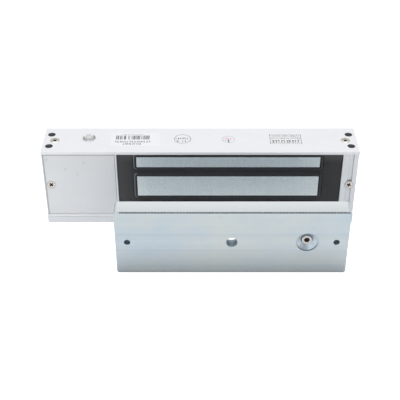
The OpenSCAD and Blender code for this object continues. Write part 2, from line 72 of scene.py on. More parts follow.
def tone(red, green, blue):
    """A colour as a screen shows it, 0 to 255, as the linear colour that a shader takes."""
    steps = [v / 255 for v in (red, green, blue)]
    linear = [v / 12.92 if v <= 0.04045 else ((v + 0.055) / 1.055) ** 2.4 for v in steps]
    return (*linear, 1)


def camera_or_light(tree, in_view, as_light):
    """A strength for what the camera sees directly, and another for the light that it casts."""
    direct = node(tree, "ShaderNodeLightPath").outputs["Is Camera Ray"]
    return node(tree, "ShaderNodeMapRange",
                {"Value": direct, "To Min": as_light, "To Max": in_view}).outputs["Result"]


def softbox(name, place, aim, size, power):
    """A square area light at a place, turned to its aim."""
    light = bpy.data.lights.new(name, "AREA")
    light.size = size
    light.energy = power
    holder = bpy.data.objects.new(name, light)
    holder.location = place
    holder.rotation_euler = (Vector(aim) - Vector(place)).to_track_quat("-Z", "Y").to_euler()
    scene.collection.objects.link(holder)


room = bpy.data.worlds.new("pale_room")
room.use_nodes = True
walls = room.node_tree.nodes["Background"].inputs
walls["Color"].default_value = (1, 1, 1, 1)
room.node_tree.links.new(camera_or_light(room.node_tree, 1.0, 0.5), walls["Strength"])
scene.world = room
scene.view_settings.view_transform = "Standard"
softbox("overhead_softbox", (0, 0.25, 1.5), (0, -0.02, 0), 1.6, 15.8)
softbox("left_softbox", (-0.4, -1.1, 0.55), (0, -0.05, 0.03), 0.6, 1.8)
softbox("back_softbox", (0, 1.9, 1.35), (0, -0.05, 0.05), 1.2, 0.4)

SHEET_REACH = 12.0
sheet_corners = [(-SHEET_REACH, -SHEET_REACH, 0), (SHEET_REACH, -SHEET_REACH, 0),
                 (SHEET_REACH, SHEET_REACH, 0), (-SHEET_REACH, SHEET_REACH, 0)]
sheet_mesh = bpy.data.meshes.new("white_sheet")
sheet_mesh.from_pydata(sheet_corners, [], [(0, 1, 2, 3)])
white_sheet = bpy.data.objects.new("white_sheet", sheet_mesh)
scene.collection.objects.link(white_sheet)
paper = bpy.data.materials.new("white_paper")
paper.use_nodes = True
paper_inputs = paper.node_tree.nodes["Principled BSDF"].inputs
for label, value in (("Base Color", (0.98, 0.98, 0.98, 1)), ("Roughness", 0.9),
                     ("Specular IOR Level", 0.1), ("Emission Color", (1, 1, 1, 1))):
    paper_inputs[label].default_value = value
paper.node_tree.links.new(camera_or_light(paper.node_tree, 0.5, 0.26), paper_inputs["Emission Strength"])
sheet_mesh.materials.append(paper)

CAMERA_TILT = 35.308  # degrees below level
camera = bpy.data.objects.new("camera", bpy.data.cameras.new("camera"))
camera.data.sensor_width = 36
camera.data.lens = 80.36
camera.location = (-0.0001, -0.64756, 0.46865)
camera.rotation_euler = (math.radians(90 - CAMERA_TILT), 0, 0)
scene.collection.objects.link(camera)
scene.camera = camera

# ---- housing channel and mounting plate -------------------------------------------------------
# Extruded aluminium, cut to length, satin etched and clear anodised. The die leaves faint lines
# along the lock. The plate is flat bar with the same finish, screwed under the channel.


def shader_group(name, inputs, outputs):
    """An empty shader group with named inputs and outputs."""
    tree = bpy.data.node_groups.new(name, "ShaderNodeTree")
    for label, kind, value in inputs:
        made = tree.interface.new_socket(label, in_out="INPUT", socket_type=kind)
        made.default_value = value
    for label, kind in outputs:
        tree.interface.new_socket(label, in_out="OUTPUT", socket_type=kind)
    source = tree.nodes.new("NodeGroupInput").outputs
    sink = tree.nodes.new("NodeGroupOutput")
    return tree, source, sink


def calc(tree, operation, *values, **settings):
    """One step of arithmetic on numbers or on other nodes' values."""
    made = node(tree, "ShaderNodeMath", dict(enumerate(values)), operation=operation, **settings)
    return made.outputs[0]


def ramp(tree, value, start, end):
    """0 up to where a value passes start, 1 from where it passes end, and even in between."""
    made = node(tree, "ShaderNodeMapRange", {"Value": value, "From Min": start, "From Max": end})
    return made.outputs["Result"]


def make_streaks():
    """Fine lines that follow one direction: a noise stretched by a different scale on each axis."""
    tree, source, sink = shader_group(
        "metal_streaks",
        [("Vector", "NodeSocketVector", (0, 0, 0)), ("Stretch", "NodeSocketVector", (30, 30, 30)),
         ("Sharpness", "NodeSocketFloat", 1.0)],
        [("Mask", "NodeSocketFloat")])
    placed = node(tree, "ShaderNodeVectorMath", {0: source["Vector"], 1: source["Stretch"]},
                  operation="MULTIPLY")
    noise = node(tree, "ShaderNodeTexNoise",
                 {"Vector": placed.outputs["Vector"], "Scale": 1.0, "Detail": 4.0, "Roughness": 0.6})
    centred = calc(tree, "SUBTRACT", noise.outputs["Fac"], 0.5)
    spread = calc(tree, "MULTIPLY", centred, source["Sharpness"])
    tree.links.new(calc(tree, "ADD", spread, 0.5, use_clamp=True), sink.inputs["Mask"])
    return tree


def make_specks():
    """Sparse small spots, for pits and dust: a dot in a cell pattern's cells, in a share of them."""
    tree, source, sink = shader_group(
        "small_specks",
        [("Vector", "NodeSocketVector", (0, 0, 0)), ("Scale", "NodeSocketFloat", 400.0),
         ("Size", "NodeSocketFloat", 0.16), ("Share", "NodeSocketFloat", 0.3)],
        [("Mask", "NodeSocketFloat")])
    cells = node(tree, "ShaderNodeTexVoronoi", {"Vector": source["Vector"], "Scale": source["Scale"]})
    dots = ramp(tree, cells.outputs["Distance"], source["Size"], 0.0)
    pick = node(tree, "ShaderNodeSeparateColor", {"Color": cells.outputs["Color"]})
    kept = calc(tree, "LESS_THAN", pick.outputs["Red"], source["Share"])
    tree.links.new(calc(tree, "MULTIPLY", dots, kept), sink.inputs["Mask"])
    return tree


def make_worn_edge():
    """Where a surface turns a sharp corner: how far the rounded normal leans from the flat one."""
    tree, source, sink = shader_group(
        "worn_edge", [("Radius", "NodeSocketFloat", 0.3 * MM)],
        [("Mask", "NodeSocketFloat"), ("Normal", "NodeSocketVector")])
    rounded = node(tree, "ShaderNodeBevel", {"Radius": source["Radius"]}, samples=4)
    flat = node(tree, "ShaderNodeNewGeometry").outputs["Normal"]
    lean = node(tree, "ShaderNodeVectorMath", {0: rounded.outputs["Normal"], 1: flat},
                operation="DOT_PRODUCT")
    tree.links.new(ramp(tree, lean.outputs["Value"], 0.999, 0.85), sink.inputs["Mask"])
    tree.links.new(rounded.outputs["Normal"], sink.inputs["Normal"])
    return tree


streaks = make_streaks()
specks = make_specks()
worn_edge = make_worn_edge()


def use(tree, group, inputs=()):
    """Places a shader group in a material."""
    return node(tree, "ShaderNodeGroup", inputs, node_tree=group).outputs


def streaked(tree, place, stretch, sharpness):
    """The streaks at a place. One number stretches them alike on every axis, as grain or cloud."""
    scales = stretch if isinstance(stretch, tuple) else (stretch,) * 3
    return use(tree, streaks, {"Vector": place, "Stretch": scales, "Sharpness": sharpness})["Mask"]


def speckled(tree, place, scale, size, share):
    """The small specks at a place."""
    return use(tree, specks, {"Vector": place, "Scale": scale, "Size": size, "Share": share})["Mask"]


def blend_colour(tree, mask, first, second):
    """The first colour where the mask is 0, the second where it is 1."""
    made = node(tree, "ShaderNodeMix", {0: mask, 6: first, 7: second}, data_type="RGBA")
    return made.outputs[2]


def between(tree, mask, low, high):
    """A number that runs from low to high with the mask."""
    made = node(tree, "ShaderNodeMapRange", {"Value": mask, "To Min": low, "To Max": high})
    return made.outputs["Result"]


def start_finish(name, metallic, **constants):
    """A new material: its tree, its Principled shader and the piece's own coordinates."""
    made = bpy.data.materials.new(name)
    made.use_nodes = True
    tree = made.node_tree
    shader = tree.nodes["Principled BSDF"]
    shader.inputs["Metallic"].default_value = metallic
    for label, value in constants.items():
        shader.inputs[label.replace("_", " ")].default_value = value
    place = tree.nodes.new("ShaderNodeTexCoord").outputs["Object"]
    return made, tree, shader, place


def finish_with(tree, shader, colour, roughness, height=None, depth=0.02 * MM, normal=None):
    """Wires colour, roughness and relief into a material's shader."""
    tree.links.new(colour, shader.inputs["Base Color"])
    tree.links.new(roughness, shader.inputs["Roughness"])
    if height is not None:
        relief = node(tree, "ShaderNodeBump", {"Height": height, "Distance": depth, "Strength": 0.6})
        if normal is not None:
            tree.links.new(normal, relief.inputs["Normal"])
        normal = relief.outputs["Normal"]
    if normal is not None:
        tree.links.new(normal, shader.inputs["Normal"])


def metal_finish(name, dark, light, worn, rough, stretch, metallic=1.0, lines=1.4, relief=0.012 * MM,
                 edge=0.3 * MM, spots=0.0, shade_attribute=None):
    """A metal with drawn or ground lines, a cloudy tone, small pits, brighter corners, and painted shade
    where a named attribute asks for it.
    """
    made, tree, shader, place = start_finish(name, metallic)
    drawn = streaked(tree, place, stretch, lines)
    cloud = streaked(tree, place, (38, 60, 52), 1.6)
    corner = use(tree, worn_edge, {"Radius": edge})
    pits = speckled(tree, place, 420.0, 0.2, spots)
    mean = calc(tree, "MULTIPLY", calc(tree, "ADD", drawn, cloud), 0.5)
    colour = blend_colour(tree, mean, dark, light)
    pitted = blend_colour(tree, between(tree, pits, 0.0, 0.35), colour, tone(120, 122, 126))
    edged = blend_colour(tree, between(tree, corner["Mask"], 0.0, 0.6), pitted, worn)
    # Painted shade: where the named attribute is 1, the colour goes nearly black.
    if shade_attribute is not None:
        shade_share = node(tree, "ShaderNodeAttribute", attribute_name=shade_attribute).outputs["Fac"]
        edged = blend_colour(tree, shade_share, edged, tone(22, 18, 15))
    roughness = between(tree, drawn, rough - 0.06, rough + 0.06)
    finish_with(tree, shader, edged, roughness, drawn, relief, corner["Normal"])
    return made


def dress(material, *names):
    """Gives CAD pieces their finish."""
    for name in names:
        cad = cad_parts[name]
        if not cad.material_slots:
            cad.data.materials.append(material)
        for held in cad.material_slots:
            held.material = material


along_lock = (18, 900, 900)
anodised = metal_finish("clear_anodised", tone(228, 230, 233), tone(235, 236, 239),
                        tone(238, 239, 241), 0.5, along_lock, metallic=0.12, lines=0.8, spots=0.03)
plate_anodised = metal_finish("plate_anodised", tone(212, 215, 218), tone(224, 227, 230),
                              tone(236, 238, 240), 0.5, along_lock, metallic=0.25, lines=1.2,
                              spots=0.03)
dress(anodised, "housing_channel")
dress(plate_anodised, "mounting_plate")

# ---- end blocks and divider -------------------------------------------------------------------
# Aluminium extrusions sawn to the height of the channel and left bare. Their drawn lines run up
# the lock, and the screw slot and rib in the face are part of the extrusion.

up_lock = (900, 900, 14)
mill_aluminium = metal_finish("mill_aluminium", tone(199, 203, 207), tone(221, 224, 227),
                              tone(238, 240, 242), 0.42, up_lock, metallic=0.5, lines=1.8)
dress(mill_aluminium, "end_block_left", "end_block_right", "divider")

# ---- laminated core ---------------------------------------------------------------------------
# Several hundred E-shaped silicon steel stampings, stacked along the lock and pressed together.
# The pole faces are ground flat in one pass and plated, so each stamping shows as a fine line.

STAMPING = 0.5 * MM
STEEL_SHARE = 0.985
OUTER_POLE = 9.8 * MM
WINDOW = 9.4 * MM
YOKE = 10 * MM


def geometry_tree(name, sockets):
    """An empty geometry tree with named inputs, and the sockets where it starts and ends."""
    tree = bpy.data.node_groups.new(name, "GeometryNodeTree")
    tree.interface.new_socket("Geometry", in_out="INPUT", socket_type="NodeSocketGeometry")
    for label, kind in sockets:
        tree.interface.new_socket(label, in_out="INPUT", socket_type=kind)
    tree.interface.new_socket("Geometry", in_out="OUTPUT", socket_type="NodeSocketGeometry")
    return tree, tree.nodes.new("NodeGroupInput").outputs, tree.nodes.new("NodeGroupOutput").inputs


def close_tree(tree, geometry, finish, sink, smooth=True):
    """Every tree ends alike: its instances made real, its shading and its finish."""
    real = node(tree, "GeometryNodeRealizeInstances", {"Geometry": geometry})
    shaded = node(tree, "GeometryNodeSetShadeSmooth",
                  {"Geometry": real.outputs[0], "Shade Smooth": smooth})
    finished = node(tree, "GeometryNodeSetMaterial",
                    {"Geometry": shaded.outputs[0], "Material": finish})
    tree.links.new(finished.outputs[0], sink["Geometry"])


def keep_piece(name, mesh, body, slot, *stands_for):
    """A finished mesh as a piece on its body, in place of the CAD pieces it stands for."""
    piece = bpy.data.objects.new(name, mesh)
    scene.collection.objects.link(piece)
    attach(piece, body)
    if stands_for:
        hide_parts(*stands_for)
    return piece


def grow(name, tree, base, values, body, slot, *stands_for, sharp=None):
    """Runs a geometry tree on a base mesh and keeps the result as a plain piece."""
    base.materials.append(values["Finish"])
    maker = bpy.data.objects.new(name + "_maker", base)
    scene.collection.objects.link(maker)
    modifier = maker.modifiers.new("make", "NODES")
    modifier.node_group = tree
    for item in tree.interface.items_tree:
        if item.in_out == "INPUT" and item.name in values:
            modifier[item.identifier] = values[item.name]
    ready = maker.evaluated_get(bpy.context.evaluated_depsgraph_get())
    mesh = bpy.data.meshes.new_from_object(ready)
    mesh.name = name
    maker.modifiers.remove(modifier)
    bpy.data.objects.remove(maker)
    if sharp is not None:
        mesh.set_sharp_from_angle(angle=math.radians(sharp))
    return keep_piece(name, mesh, body, slot, *stands_for)


def stacked_tree():
    """A flat outline in the YZ plane, thickened and repeated along X with slight unevenness."""
    tree, source, sink = geometry_tree("stacked_stampings", [
        ("Count", "NodeSocketInt"), ("Thickness", "NodeSocketFloat"),
        ("Unevenness", "NodeSocketFloat"), ("Finish", "NodeSocketMaterial")])
    steel = calc(tree, "MULTIPLY", source["Thickness"], STEEL_SHARE)
    across = node(tree, "ShaderNodeCombineXYZ", {"X": 1.0})
    thick = node(tree, "GeometryNodeExtrudeMesh", {
        "Mesh": source["Geometry"], "Offset": across.outputs[0], "Offset Scale": steel,
        "Individual": False})
    flipped = node(tree, "GeometryNodeFlipFaces", {"Mesh": source["Geometry"]})
    stamping = node(tree, "GeometryNodeJoinGeometry")
    tree.links.new(thick.outputs["Mesh"], stamping.inputs[0])
    tree.links.new(flipped.outputs[0], stamping.inputs[0])
    step = node(tree, "ShaderNodeCombineXYZ", {"X": source["Thickness"]})
    row = node(tree, "GeometryNodeMeshLine", {"Count": source["Count"], "Offset": step.outputs[0]})
    sunk = node(tree, "FunctionNodeRandomValue", {"Min": (0, 0, 0), "Seed": 3}, data_type="FLOAT_VECTOR")
    most = node(tree, "ShaderNodeCombineXYZ", {"Y": source["Unevenness"]})
    tree.links.new(most.outputs[0], sunk.inputs["Max"])
    placed = node(tree, "GeometryNodeSetPosition",
                  {"Geometry": row.outputs[0], "Offset": sunk.outputs["Value"]})
    copies = node(tree, "GeometryNodeInstanceOnPoints",
                  {"Points": placed.outputs[0], "Instance": stamping.outputs[0]})
    shade = node(tree, "FunctionNodeRandomValue", {2: 0.0, 3: 1.0, "Seed": 8}, data_type="FLOAT")
    marked = node(tree, "GeometryNodeStoreNamedAttribute", {
        "Geometry": copies.outputs[0], "Name": "stamping_tone", "Value": shade.outputs[1]},
        data_type="FLOAT", domain="INSTANCE")
    close_tree(tree, marked.outputs[0], source["Finish"], sink, smooth=False)
    return tree


def pole_finish():
    """Ground and plated stampings: each has its own tone, under a cloudy, slightly speckled film."""
    made, tree, shader, place = start_finish("ground_stampings", 1.0)
    own = node(tree, "ShaderNodeAttribute", attribute_name="stamping_tone").outputs["Fac"]
    cloud = streaked(tree, place, (110, 60, 75), 2.0)
    grit = streaked(tree, place, (950, 900, 800), 2.4)
    steel = blend_colour(tree, own, tone(223, 230, 232), tone(229, 235, 237))
    hazy = blend_colour(tree, between(tree, cloud, 0.0, 0.5), steel, tone(211, 220, 224))
    gritty = blend_colour(tree, between(tree, grit, 0.0, 0.55), hazy, tone(188, 196, 194))
    finish_with(tree, shader, gritty, between(tree, grit, 0.42, 0.58), grit, 0.01 * MM)
    return made


core_low, core_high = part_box("magnet_core")
leg_root = core_high[1] - YOKE
level_z = [core_low[2] + step for step in
           (0, OUTER_POLE, OUTER_POLE + WINDOW, 3 * OUTER_POLE + WINDOW, 3 * OUTER_POLE + 2 * WINDOW)]
outline = [(core_high[1], core_low[2]), (core_high[1], core_high[2]), (core_low[1], core_high[2]),
           (core_low[1], level_z[4]), (leg_root, level_z[4]), (leg_root, level_z[3]),
           (core_low[1], level_z[3]), (core_low[1], level_z[2]), (leg_root, level_z[2]),
           (leg_root, level_z[1]), (core_low[1], level_z[1]), (core_low[1], core_low[2])]
stamping_mesh = bpy.data.meshes.new("stamping_outline")
stamping_mesh.from_pydata([(core_low[0], y, z) for y, z in outline], [], [tuple(range(len(outline)))])
stamping_count = round((core_high[0] - core_low[0]) / STAMPING)
grow("laminated_core", stacked_tree(), stamping_mesh,
     {"Count": stamping_count, "Thickness": (core_high[0] - core_low[0]) / stamping_count,
      "Unevenness": 0.012 * MM, "Finish": pole_finish()},
     "lock", "core_steel", "magnet_core")

# ---- coil and bobbin --------------------------------------------------------------------------
# Enamelled copper wire wound in layers on a black nylon bobbin round the middle pole. Both are
# buried in the resin, and show only where a model is cut open.


def plastic_finish(name, dark, light, rough, fine=1200, relief=0.02 * MM, **constants):
    """A moulded plastic: a slight tone change, a fine eggshell relief and uneven gloss."""
    made, tree, shader, place = start_finish(name, 0.0, **constants)
    skin = streaked(tree, place, fine, 1.2)
    cloud = streaked(tree, place, 90, 1.8)
    colour = blend_colour(tree, cloud, dark, light)
    finish_with(tree, shader, colour, between(tree, skin, rough - 0.07, rough + 0.07), skin, relief)
    return made


def winding_finish():
    """Layers of round enamelled wire: fine ridges around the coil and a warm, uneven copper."""
    made, tree, shader, place = start_finish("wound_copper", 1.0)
    ridges = node(tree, "ShaderNodeTexWave", {"Vector": place, "Scale": 600.0, "Distortion": 0.4},
                  wave_type="BANDS", bands_direction="Y")
    cloud = streaked(tree, place, 80, 2.0)
    colour = blend_colour(tree, cloud, tone(150, 74, 34), tone(206, 118, 62))
    ridge_height = ridges.outputs["Fac"]
    finish_with(tree, shader, colour, between(tree, cloud, 0.25, 0.4), ridge_height, 0.1 * MM)
    return made


black_nylon = plastic_finish("black_nylon", tone(38, 38, 40), tone(52, 52, 54), 0.45)
dress(black_nylon, "coil_bobbin")
dress(winding_finish(), "coil_winding")

# ---- potting resin ----------------------------------------------------------------------------
# Black two-part resin poured round the core and the coil. It has shrunk a little below the pole
# faces, and a moulded collar with rounded corners stands round each of the three poles.

COLLAR = 2.75 * MM
COLLAR_DROP = 0.15 * MM
RESIN_DROP = 1.2 * MM
resin_low, resin_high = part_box("potting_resin")
magnet_face = core_low[1]
resin_step = 0.5 * MM


def fade(value, start, end):
    """0 at start and 1 at end, with a smooth way between."""
    share = min(1.0, max(0.0, (value - start) / (end - start)))
    return share * share * (3 - 2 * share)


def outside_pole(x, z, low_z, high_z):
    """How far a point of the magnet face lies outside one pole's rectangle."""
    away_x = max(core_low[0] - x, x - core_high[0])
    away_z = max(low_z - z, z - high_z)
    if away_x > 0 and away_z > 0:
        return math.hypot(away_x, away_z)
    return max(away_x, away_z)


def resin_depth(x, z):
    """The resin's depth behind the pole faces, how much it is a collar, and how much painted highlight
    falls on the collars' outer edges.
    """
    poles = ((core_low[2], level_z[1]), (level_z[2], level_z[3]), (level_z[4], core_high[2]))
    near = min(outside_pole(x, z, low, high) for low, high in poles)
    wall = min(x - resin_low[0], resin_high[0] - x, z - resin_low[2], resin_high[2] - z)
    shoulder = fade(near, COLLAR - 1.0 * MM, COLLAR + 0.3 * MM)
    groove = 0.35 * MM * (1 - fade(abs(near - COLLAR - 0.4 * MM), 0, 0.6 * MM))
    against_pole = 0.5 * MM * (1 - fade(near, 0.1 * MM, 0.8 * MM))
    climb = 0.25 * MM * (1 - fade(wall, 0, 1.1 * MM))
    slump = 0.09 * MM * math.sin(x * 61 + 1.3) * math.sin(z * 90 + x * 23)
    flat = RESIN_DROP + slump - climb + groove
    depth = COLLAR_DROP + against_pole + (flat - COLLAR_DROP) * shoulder
    # Painted highlight: a pale band along each collar's outer rounded edge, full to the left of the poles
    # and faint elsewhere.
    rim_highlight = 1 - fade(abs(near - COLLAR + 0.45 * MM), 0.2 * MM, 0.9 * MM)
    left_lit_share = 0.12 + 0.88 * fade(core_low[0] + 0.6 * MM - x, 0, 1.2 * MM)
    return depth, 1 - fade(near, COLLAR - 0.2 * MM, COLLAR + 0.9 * MM), rim_highlight * left_lit_share


def resin_mesh():
    """The poured surface as a fine grid, closed by four sides and a back."""
    columns = round((resin_high[0] - resin_low[0]) / resin_step)
    rows = round((resin_high[2] - resin_low[2]) / resin_step)
    xs = [resin_low[0] + (resin_high[0] - resin_low[0]) * i / columns for i in range(columns + 1)]
    zs = [resin_low[2] + (resin_high[2] - resin_low[2]) * j / rows for j in range(rows + 1)]
    made = bmesh.new()
    collar = made.verts.layers.float.new("collar")
    # The rim layer holds the painted highlight on the collars' outer edges.
    rim = made.verts.layers.float.new("rim")
    front = []
    for x in xs:
        column = []
        for z in zs:
            depth, on_collar, rim_lit = resin_depth(x, z)
            column.append(made.verts.new((x, magnet_face + depth, z)))
            column[-1][collar] = on_collar
            column[-1][rim] = rim_lit
        front.append(column)
    for i in range(columns):
        for j in range(rows):
            made.faces.new((front[i][j], front[i + 1][j], front[i + 1][j + 1], front[i][j + 1]))
    border = (front[0][:-1] + [column[-1] for column in front[:-1]]
              + front[-1][:0:-1] + [column[0] for column in front[:0:-1]])
    behind = [made.verts.new((v.co.x, resin_high[1], v.co.z)) for v in border]
    for k in range(len(border)):
        after = (k + 1) % len(border)
        made.faces.new((border[k], border[after], behind[after], behind[k]))
    made.faces.new(behind)
    bmesh.ops.recalc_face_normals(made, faces=made.faces)
    mesh = bpy.data.meshes.new("poured_resin")
    made.to_mesh(mesh)
    made.free()
    mesh.shade_smooth()
    mesh.set_sharp_from_angle(angle=math.radians(75))
    return mesh


def coordinate(tree, place, axis):
    """One coordinate of a place."""
    return node(tree, "ShaderNodeSeparateXYZ", {0: place}).outputs[axis]


def resin_finish():
    """Cured epoxy: a soft sheen, slow ripples and fine dust, and a painted reflection that makes it paler
    towards the cover's end.
    """
    made, tree, shader, place = start_finish("cured_resin", 0.0, IOR=1.42)
    ripple = streaked(tree, place, (120, 60, 190), 2.0)
    dust = streaked(tree, place, 1500, 2.2)
    holes = speckled(tree, place, 300.0, 0.12, 0.1)
    collar = node(tree, "ShaderNodeAttribute", attribute_name="collar").outputs["Fac"]
    # Painted reflection: the resin is paler towards the cover's end.
    reflecting_end = ramp(tree, coordinate(tree, place, "X"), core_low[0], resin_low[0])
    colour = blend_colour(tree, ripple, tone(20, 20, 24), tone(30, 30, 35))
    paler = blend_colour(tree, between(tree, reflecting_end, 0.0, 0.8), colour, tone(60, 61, 64))
    half = (resin_high[2] - resin_low[2]) / 2
    off_middle = calc(tree, "SUBTRACT", coordinate(tree, place, "Z"), resin_low[2] + half)
    border = ramp(tree, calc(tree, "ABSOLUTE", off_middle), half * 0.7, half * 0.9)
    bordered = blend_colour(tree, between(tree, border, 0.0, 0.85), paler, tone(62, 63, 65))
    dusty = blend_colour(tree, between(tree, dust, 0.0, 0.22), bordered, tone(84, 84, 86))
    holed = blend_colour(tree, holes, dusty, tone(110, 110, 110))
    moulded = blend_colour(tree, between(tree, collar, 0.0, 0.85), holed, tone(24, 24, 26))
    # Painted highlight: the rim layer blends the collars' outer edges towards pale grey.
    rim_highlight = node(tree, "ShaderNodeAttribute", attribute_name="rim").outputs["Fac"]
    highlighted = blend_colour(tree, rim_highlight, moulded, tone(104, 104, 108))
    finish_with(tree, shader, highlighted, between(tree, ripple, 0.38, 0.55), ripple, 0.08 * MM)
    return made


resin_surface = resin_mesh()
resin_surface.materials.append(resin_finish())
keep_piece("poured_resin", resin_surface, "lock", "black_resin", "potting_resin")

# ---- wiring chamber ---------------------------------------------------------------------------
# A small circuit board on four brass standoffs feeds the coil and the status light. The supply
# wires come in through a rubber grommet and go to the terminals, under the loose cover.


def board_finish():
    """Green solder mask over glass cloth: copper tracks show as paler, slightly raised lines."""
    made, tree, shader, place = start_finish("solder_mask", 0.0, Coat_Weight=0.4)
    centred = node(tree, "ShaderNodeMapping", {"Vector": place, "Scale": (260, 1, 260)})
    tracks = node(tree, "ShaderNodeTexBrick", {
        "Vector": centred.outputs[0], "Color1": (1, 1, 1, 1), "Color2": (1, 1, 1, 1),
        "Mortar": (0, 0, 0, 1), "Scale": 1.0, "Mortar Size": 0.09, "Brick Width": 1.3,
        "Row Height": 0.42}, offset=0.37, squash=1.4)
    line = node(tree, "ShaderNodeInvert", {"Color": tracks.outputs["Color"]}).outputs[0]
    cloth = streaked(tree, place, (2600, 60, 2600), 1.0)
    mask_colour = blend_colour(tree, cloth, tone(14, 92, 58), tone(22, 108, 70))
    colour = blend_colour(tree, line, mask_colour, tone(46, 138, 92))
    finish_with(tree, shader, colour, between(tree, cloth, 0.3, 0.4), line, 0.04 * MM)
    return made


def scatter_tree():
    """Small surface-mount parts in rows on the board, some of the places left empty."""
    tree, source, sink = geometry_tree("board_parts", [
        ("Columns", "NodeSocketInt"), ("Rows", "NodeSocketInt"), ("Width", "NodeSocketFloat"),
        ("Height", "NodeSocketFloat"), ("Place", "NodeSocketVector"), ("Part", "NodeSocketVector"),
        ("Share", "NodeSocketFloat"), ("Seed", "NodeSocketInt"), ("Finish", "NodeSocketMaterial")])
    grid = node(tree, "GeometryNodeMeshGrid", {
        "Size X": source["Width"], "Size Y": source["Height"], "Vertices X": source["Columns"],
        "Vertices Y": source["Rows"]})
    upright = node(tree, "GeometryNodeTransform", {
        "Geometry": grid.outputs["Mesh"], "Translation": source["Place"],
        "Rotation": (math.radians(90), 0, 0)})
    keep = node(tree, "FunctionNodeRandomValue", {"Probability": source["Share"],
                "Seed": source["Seed"]}, data_type="BOOLEAN")
    part = node(tree, "GeometryNodeMeshCube", {"Size": source["Part"]})
    copies = node(tree, "GeometryNodeInstanceOnPoints", {
        "Points": upright.outputs[0], "Selection": keep.outputs[3], "Instance": part.outputs["Mesh"]})
    close_tree(tree, copies.outputs[0], source["Finish"], sink, smooth=False)
    return tree


SAME_POINT = 0.001 * MM
CHIP_SIZE = (2.0 * MM, 0.9 * MM, 1.2 * MM)
board_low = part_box("circuit_board")[0]
dress(board_finish(), "circuit_board")
ceramic = plastic_finish("chip_ceramic", tone(60, 52, 46), tone(150, 132, 108), 0.4)
grow("board_chips", scatter_tree(), bpy.data.meshes.new("no_base"),
     {"Columns": 7, "Rows": 5, "Width": 22 * MM, "Height": 13 * MM,
      "Place": (board_low[0] + 19 * MM, board_low[1] - 0.45 * MM, board_low[2] + 42.5 * MM),
      "Part": CHIP_SIZE, "Share": 0.5, "Seed": 5, "Finish": ceramic}, "lock", "black_plastic")


def merged_copy(name, cad_name, finish, body, slot, whole_faces=True):
    """A CAD piece's mesh with its loose triangles joined, as a new piece that stands for it."""
    made = bmesh.new()
    made.from_mesh(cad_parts[cad_name].data)
    bmesh.ops.remove_doubles(made, verts=made.verts, dist=SAME_POINT)
    if whole_faces:
        bmesh.ops.dissolve_limit(made, angle_limit=math.radians(0.5), verts=made.verts,
                                 edges=made.edges)
    mesh = bpy.data.meshes.new(name)
    made.to_mesh(mesh)
    made.free()
    mesh.materials.clear()
    mesh.materials.append(finish)
    mesh.shade_smooth()
    return keep_piece(name, mesh, body, slot, cad_name)


def rounded_copy(name, cad_name, width, finish, slot, body="lock", segments=2, sharpest=30):
    """A CAD piece with its corners rounded over, which stands for it."""
    piece = merged_copy(name, cad_name, finish, body, slot)
    corner = piece.modifiers.new("rounded_corners", "BEVEL")
    corner.width = width
    corner.segments = segments
    corner.limit_method = "ANGLE"
    corner.angle_limit = math.radians(sharpest)
    corner.harden_normals = True
    return piece


green_housing = plastic_finish("green_terminals", tone(24, 108, 58), tone(32, 124, 70), 0.4)
relay_blue = plastic_finish("relay_case", tone(24, 58, 128), tone(32, 72, 148), 0.32)
varistor_blue = plastic_finish("varistor_epoxy", tone(30, 80, 150), tone(44, 98, 172), 0.3)
jumper_black = plastic_finish("jumper_plastic", tone(24, 24, 26), tone(36, 36, 38), 0.4)
rounded_copy("terminal_housing", "terminal_block", 0.25 * MM, green_housing, "green_plastic")
rounded_copy("relay_case", "relay", 0.5 * MM, relay_blue, "blue_plastic", segments=3)
rounded_copy("varistor_disc", "varistor", 1.2 * MM, varistor_blue, "blue_plastic", segments=4)
dress(jumper_black, "voltage_jumpers", "bond_sensor")
turned_brass = metal_finish("turned_brass", tone(190, 160, 92), tone(222, 194, 120),
                            tone(236, 214, 150), 0.3, (900, 60, 900))
dress(turned_brass, "board_standoffs")


def wire_finish(name, dark, light):
    """Soft vinyl insulation: a waxy sheen with faint scuffs."""
    made, tree, shader, place = start_finish(name, 0.0, Coat_Weight=0.15)
    scuff = streaked(tree, place, (300, 500, 500), 2.0)
    colour = blend_colour(tree, scuff, dark, light)
    finish_with(tree, shader, colour, between(tree, scuff, 0.3, 0.45), scuff, 0.02 * MM)
    return made


dress(wire_finish("red_insulation", tone(160, 22, 18), tone(186, 36, 28)), "coil_leads")
dress(wire_finish("yellow_insulation", tone(206, 172, 40), tone(224, 194, 66)), "sensor_wires")
grommet_rubber = plastic_finish("grommet_rubber", tone(30, 30, 30), tone(44, 43, 42), 0.6)
rounded_copy("rubber_grommet", "wire_grommet", 0.4 * MM, grommet_rubber, "black_rubber", segments=3)

# ---- screws -----------------------------------------------------------------------------------
# Nickel-plated countersunk machine screws with a cross recess hold the housing, the cover and the
# right end. Smaller round-headed ones hold the board, and slotted ones clamp the terminals.


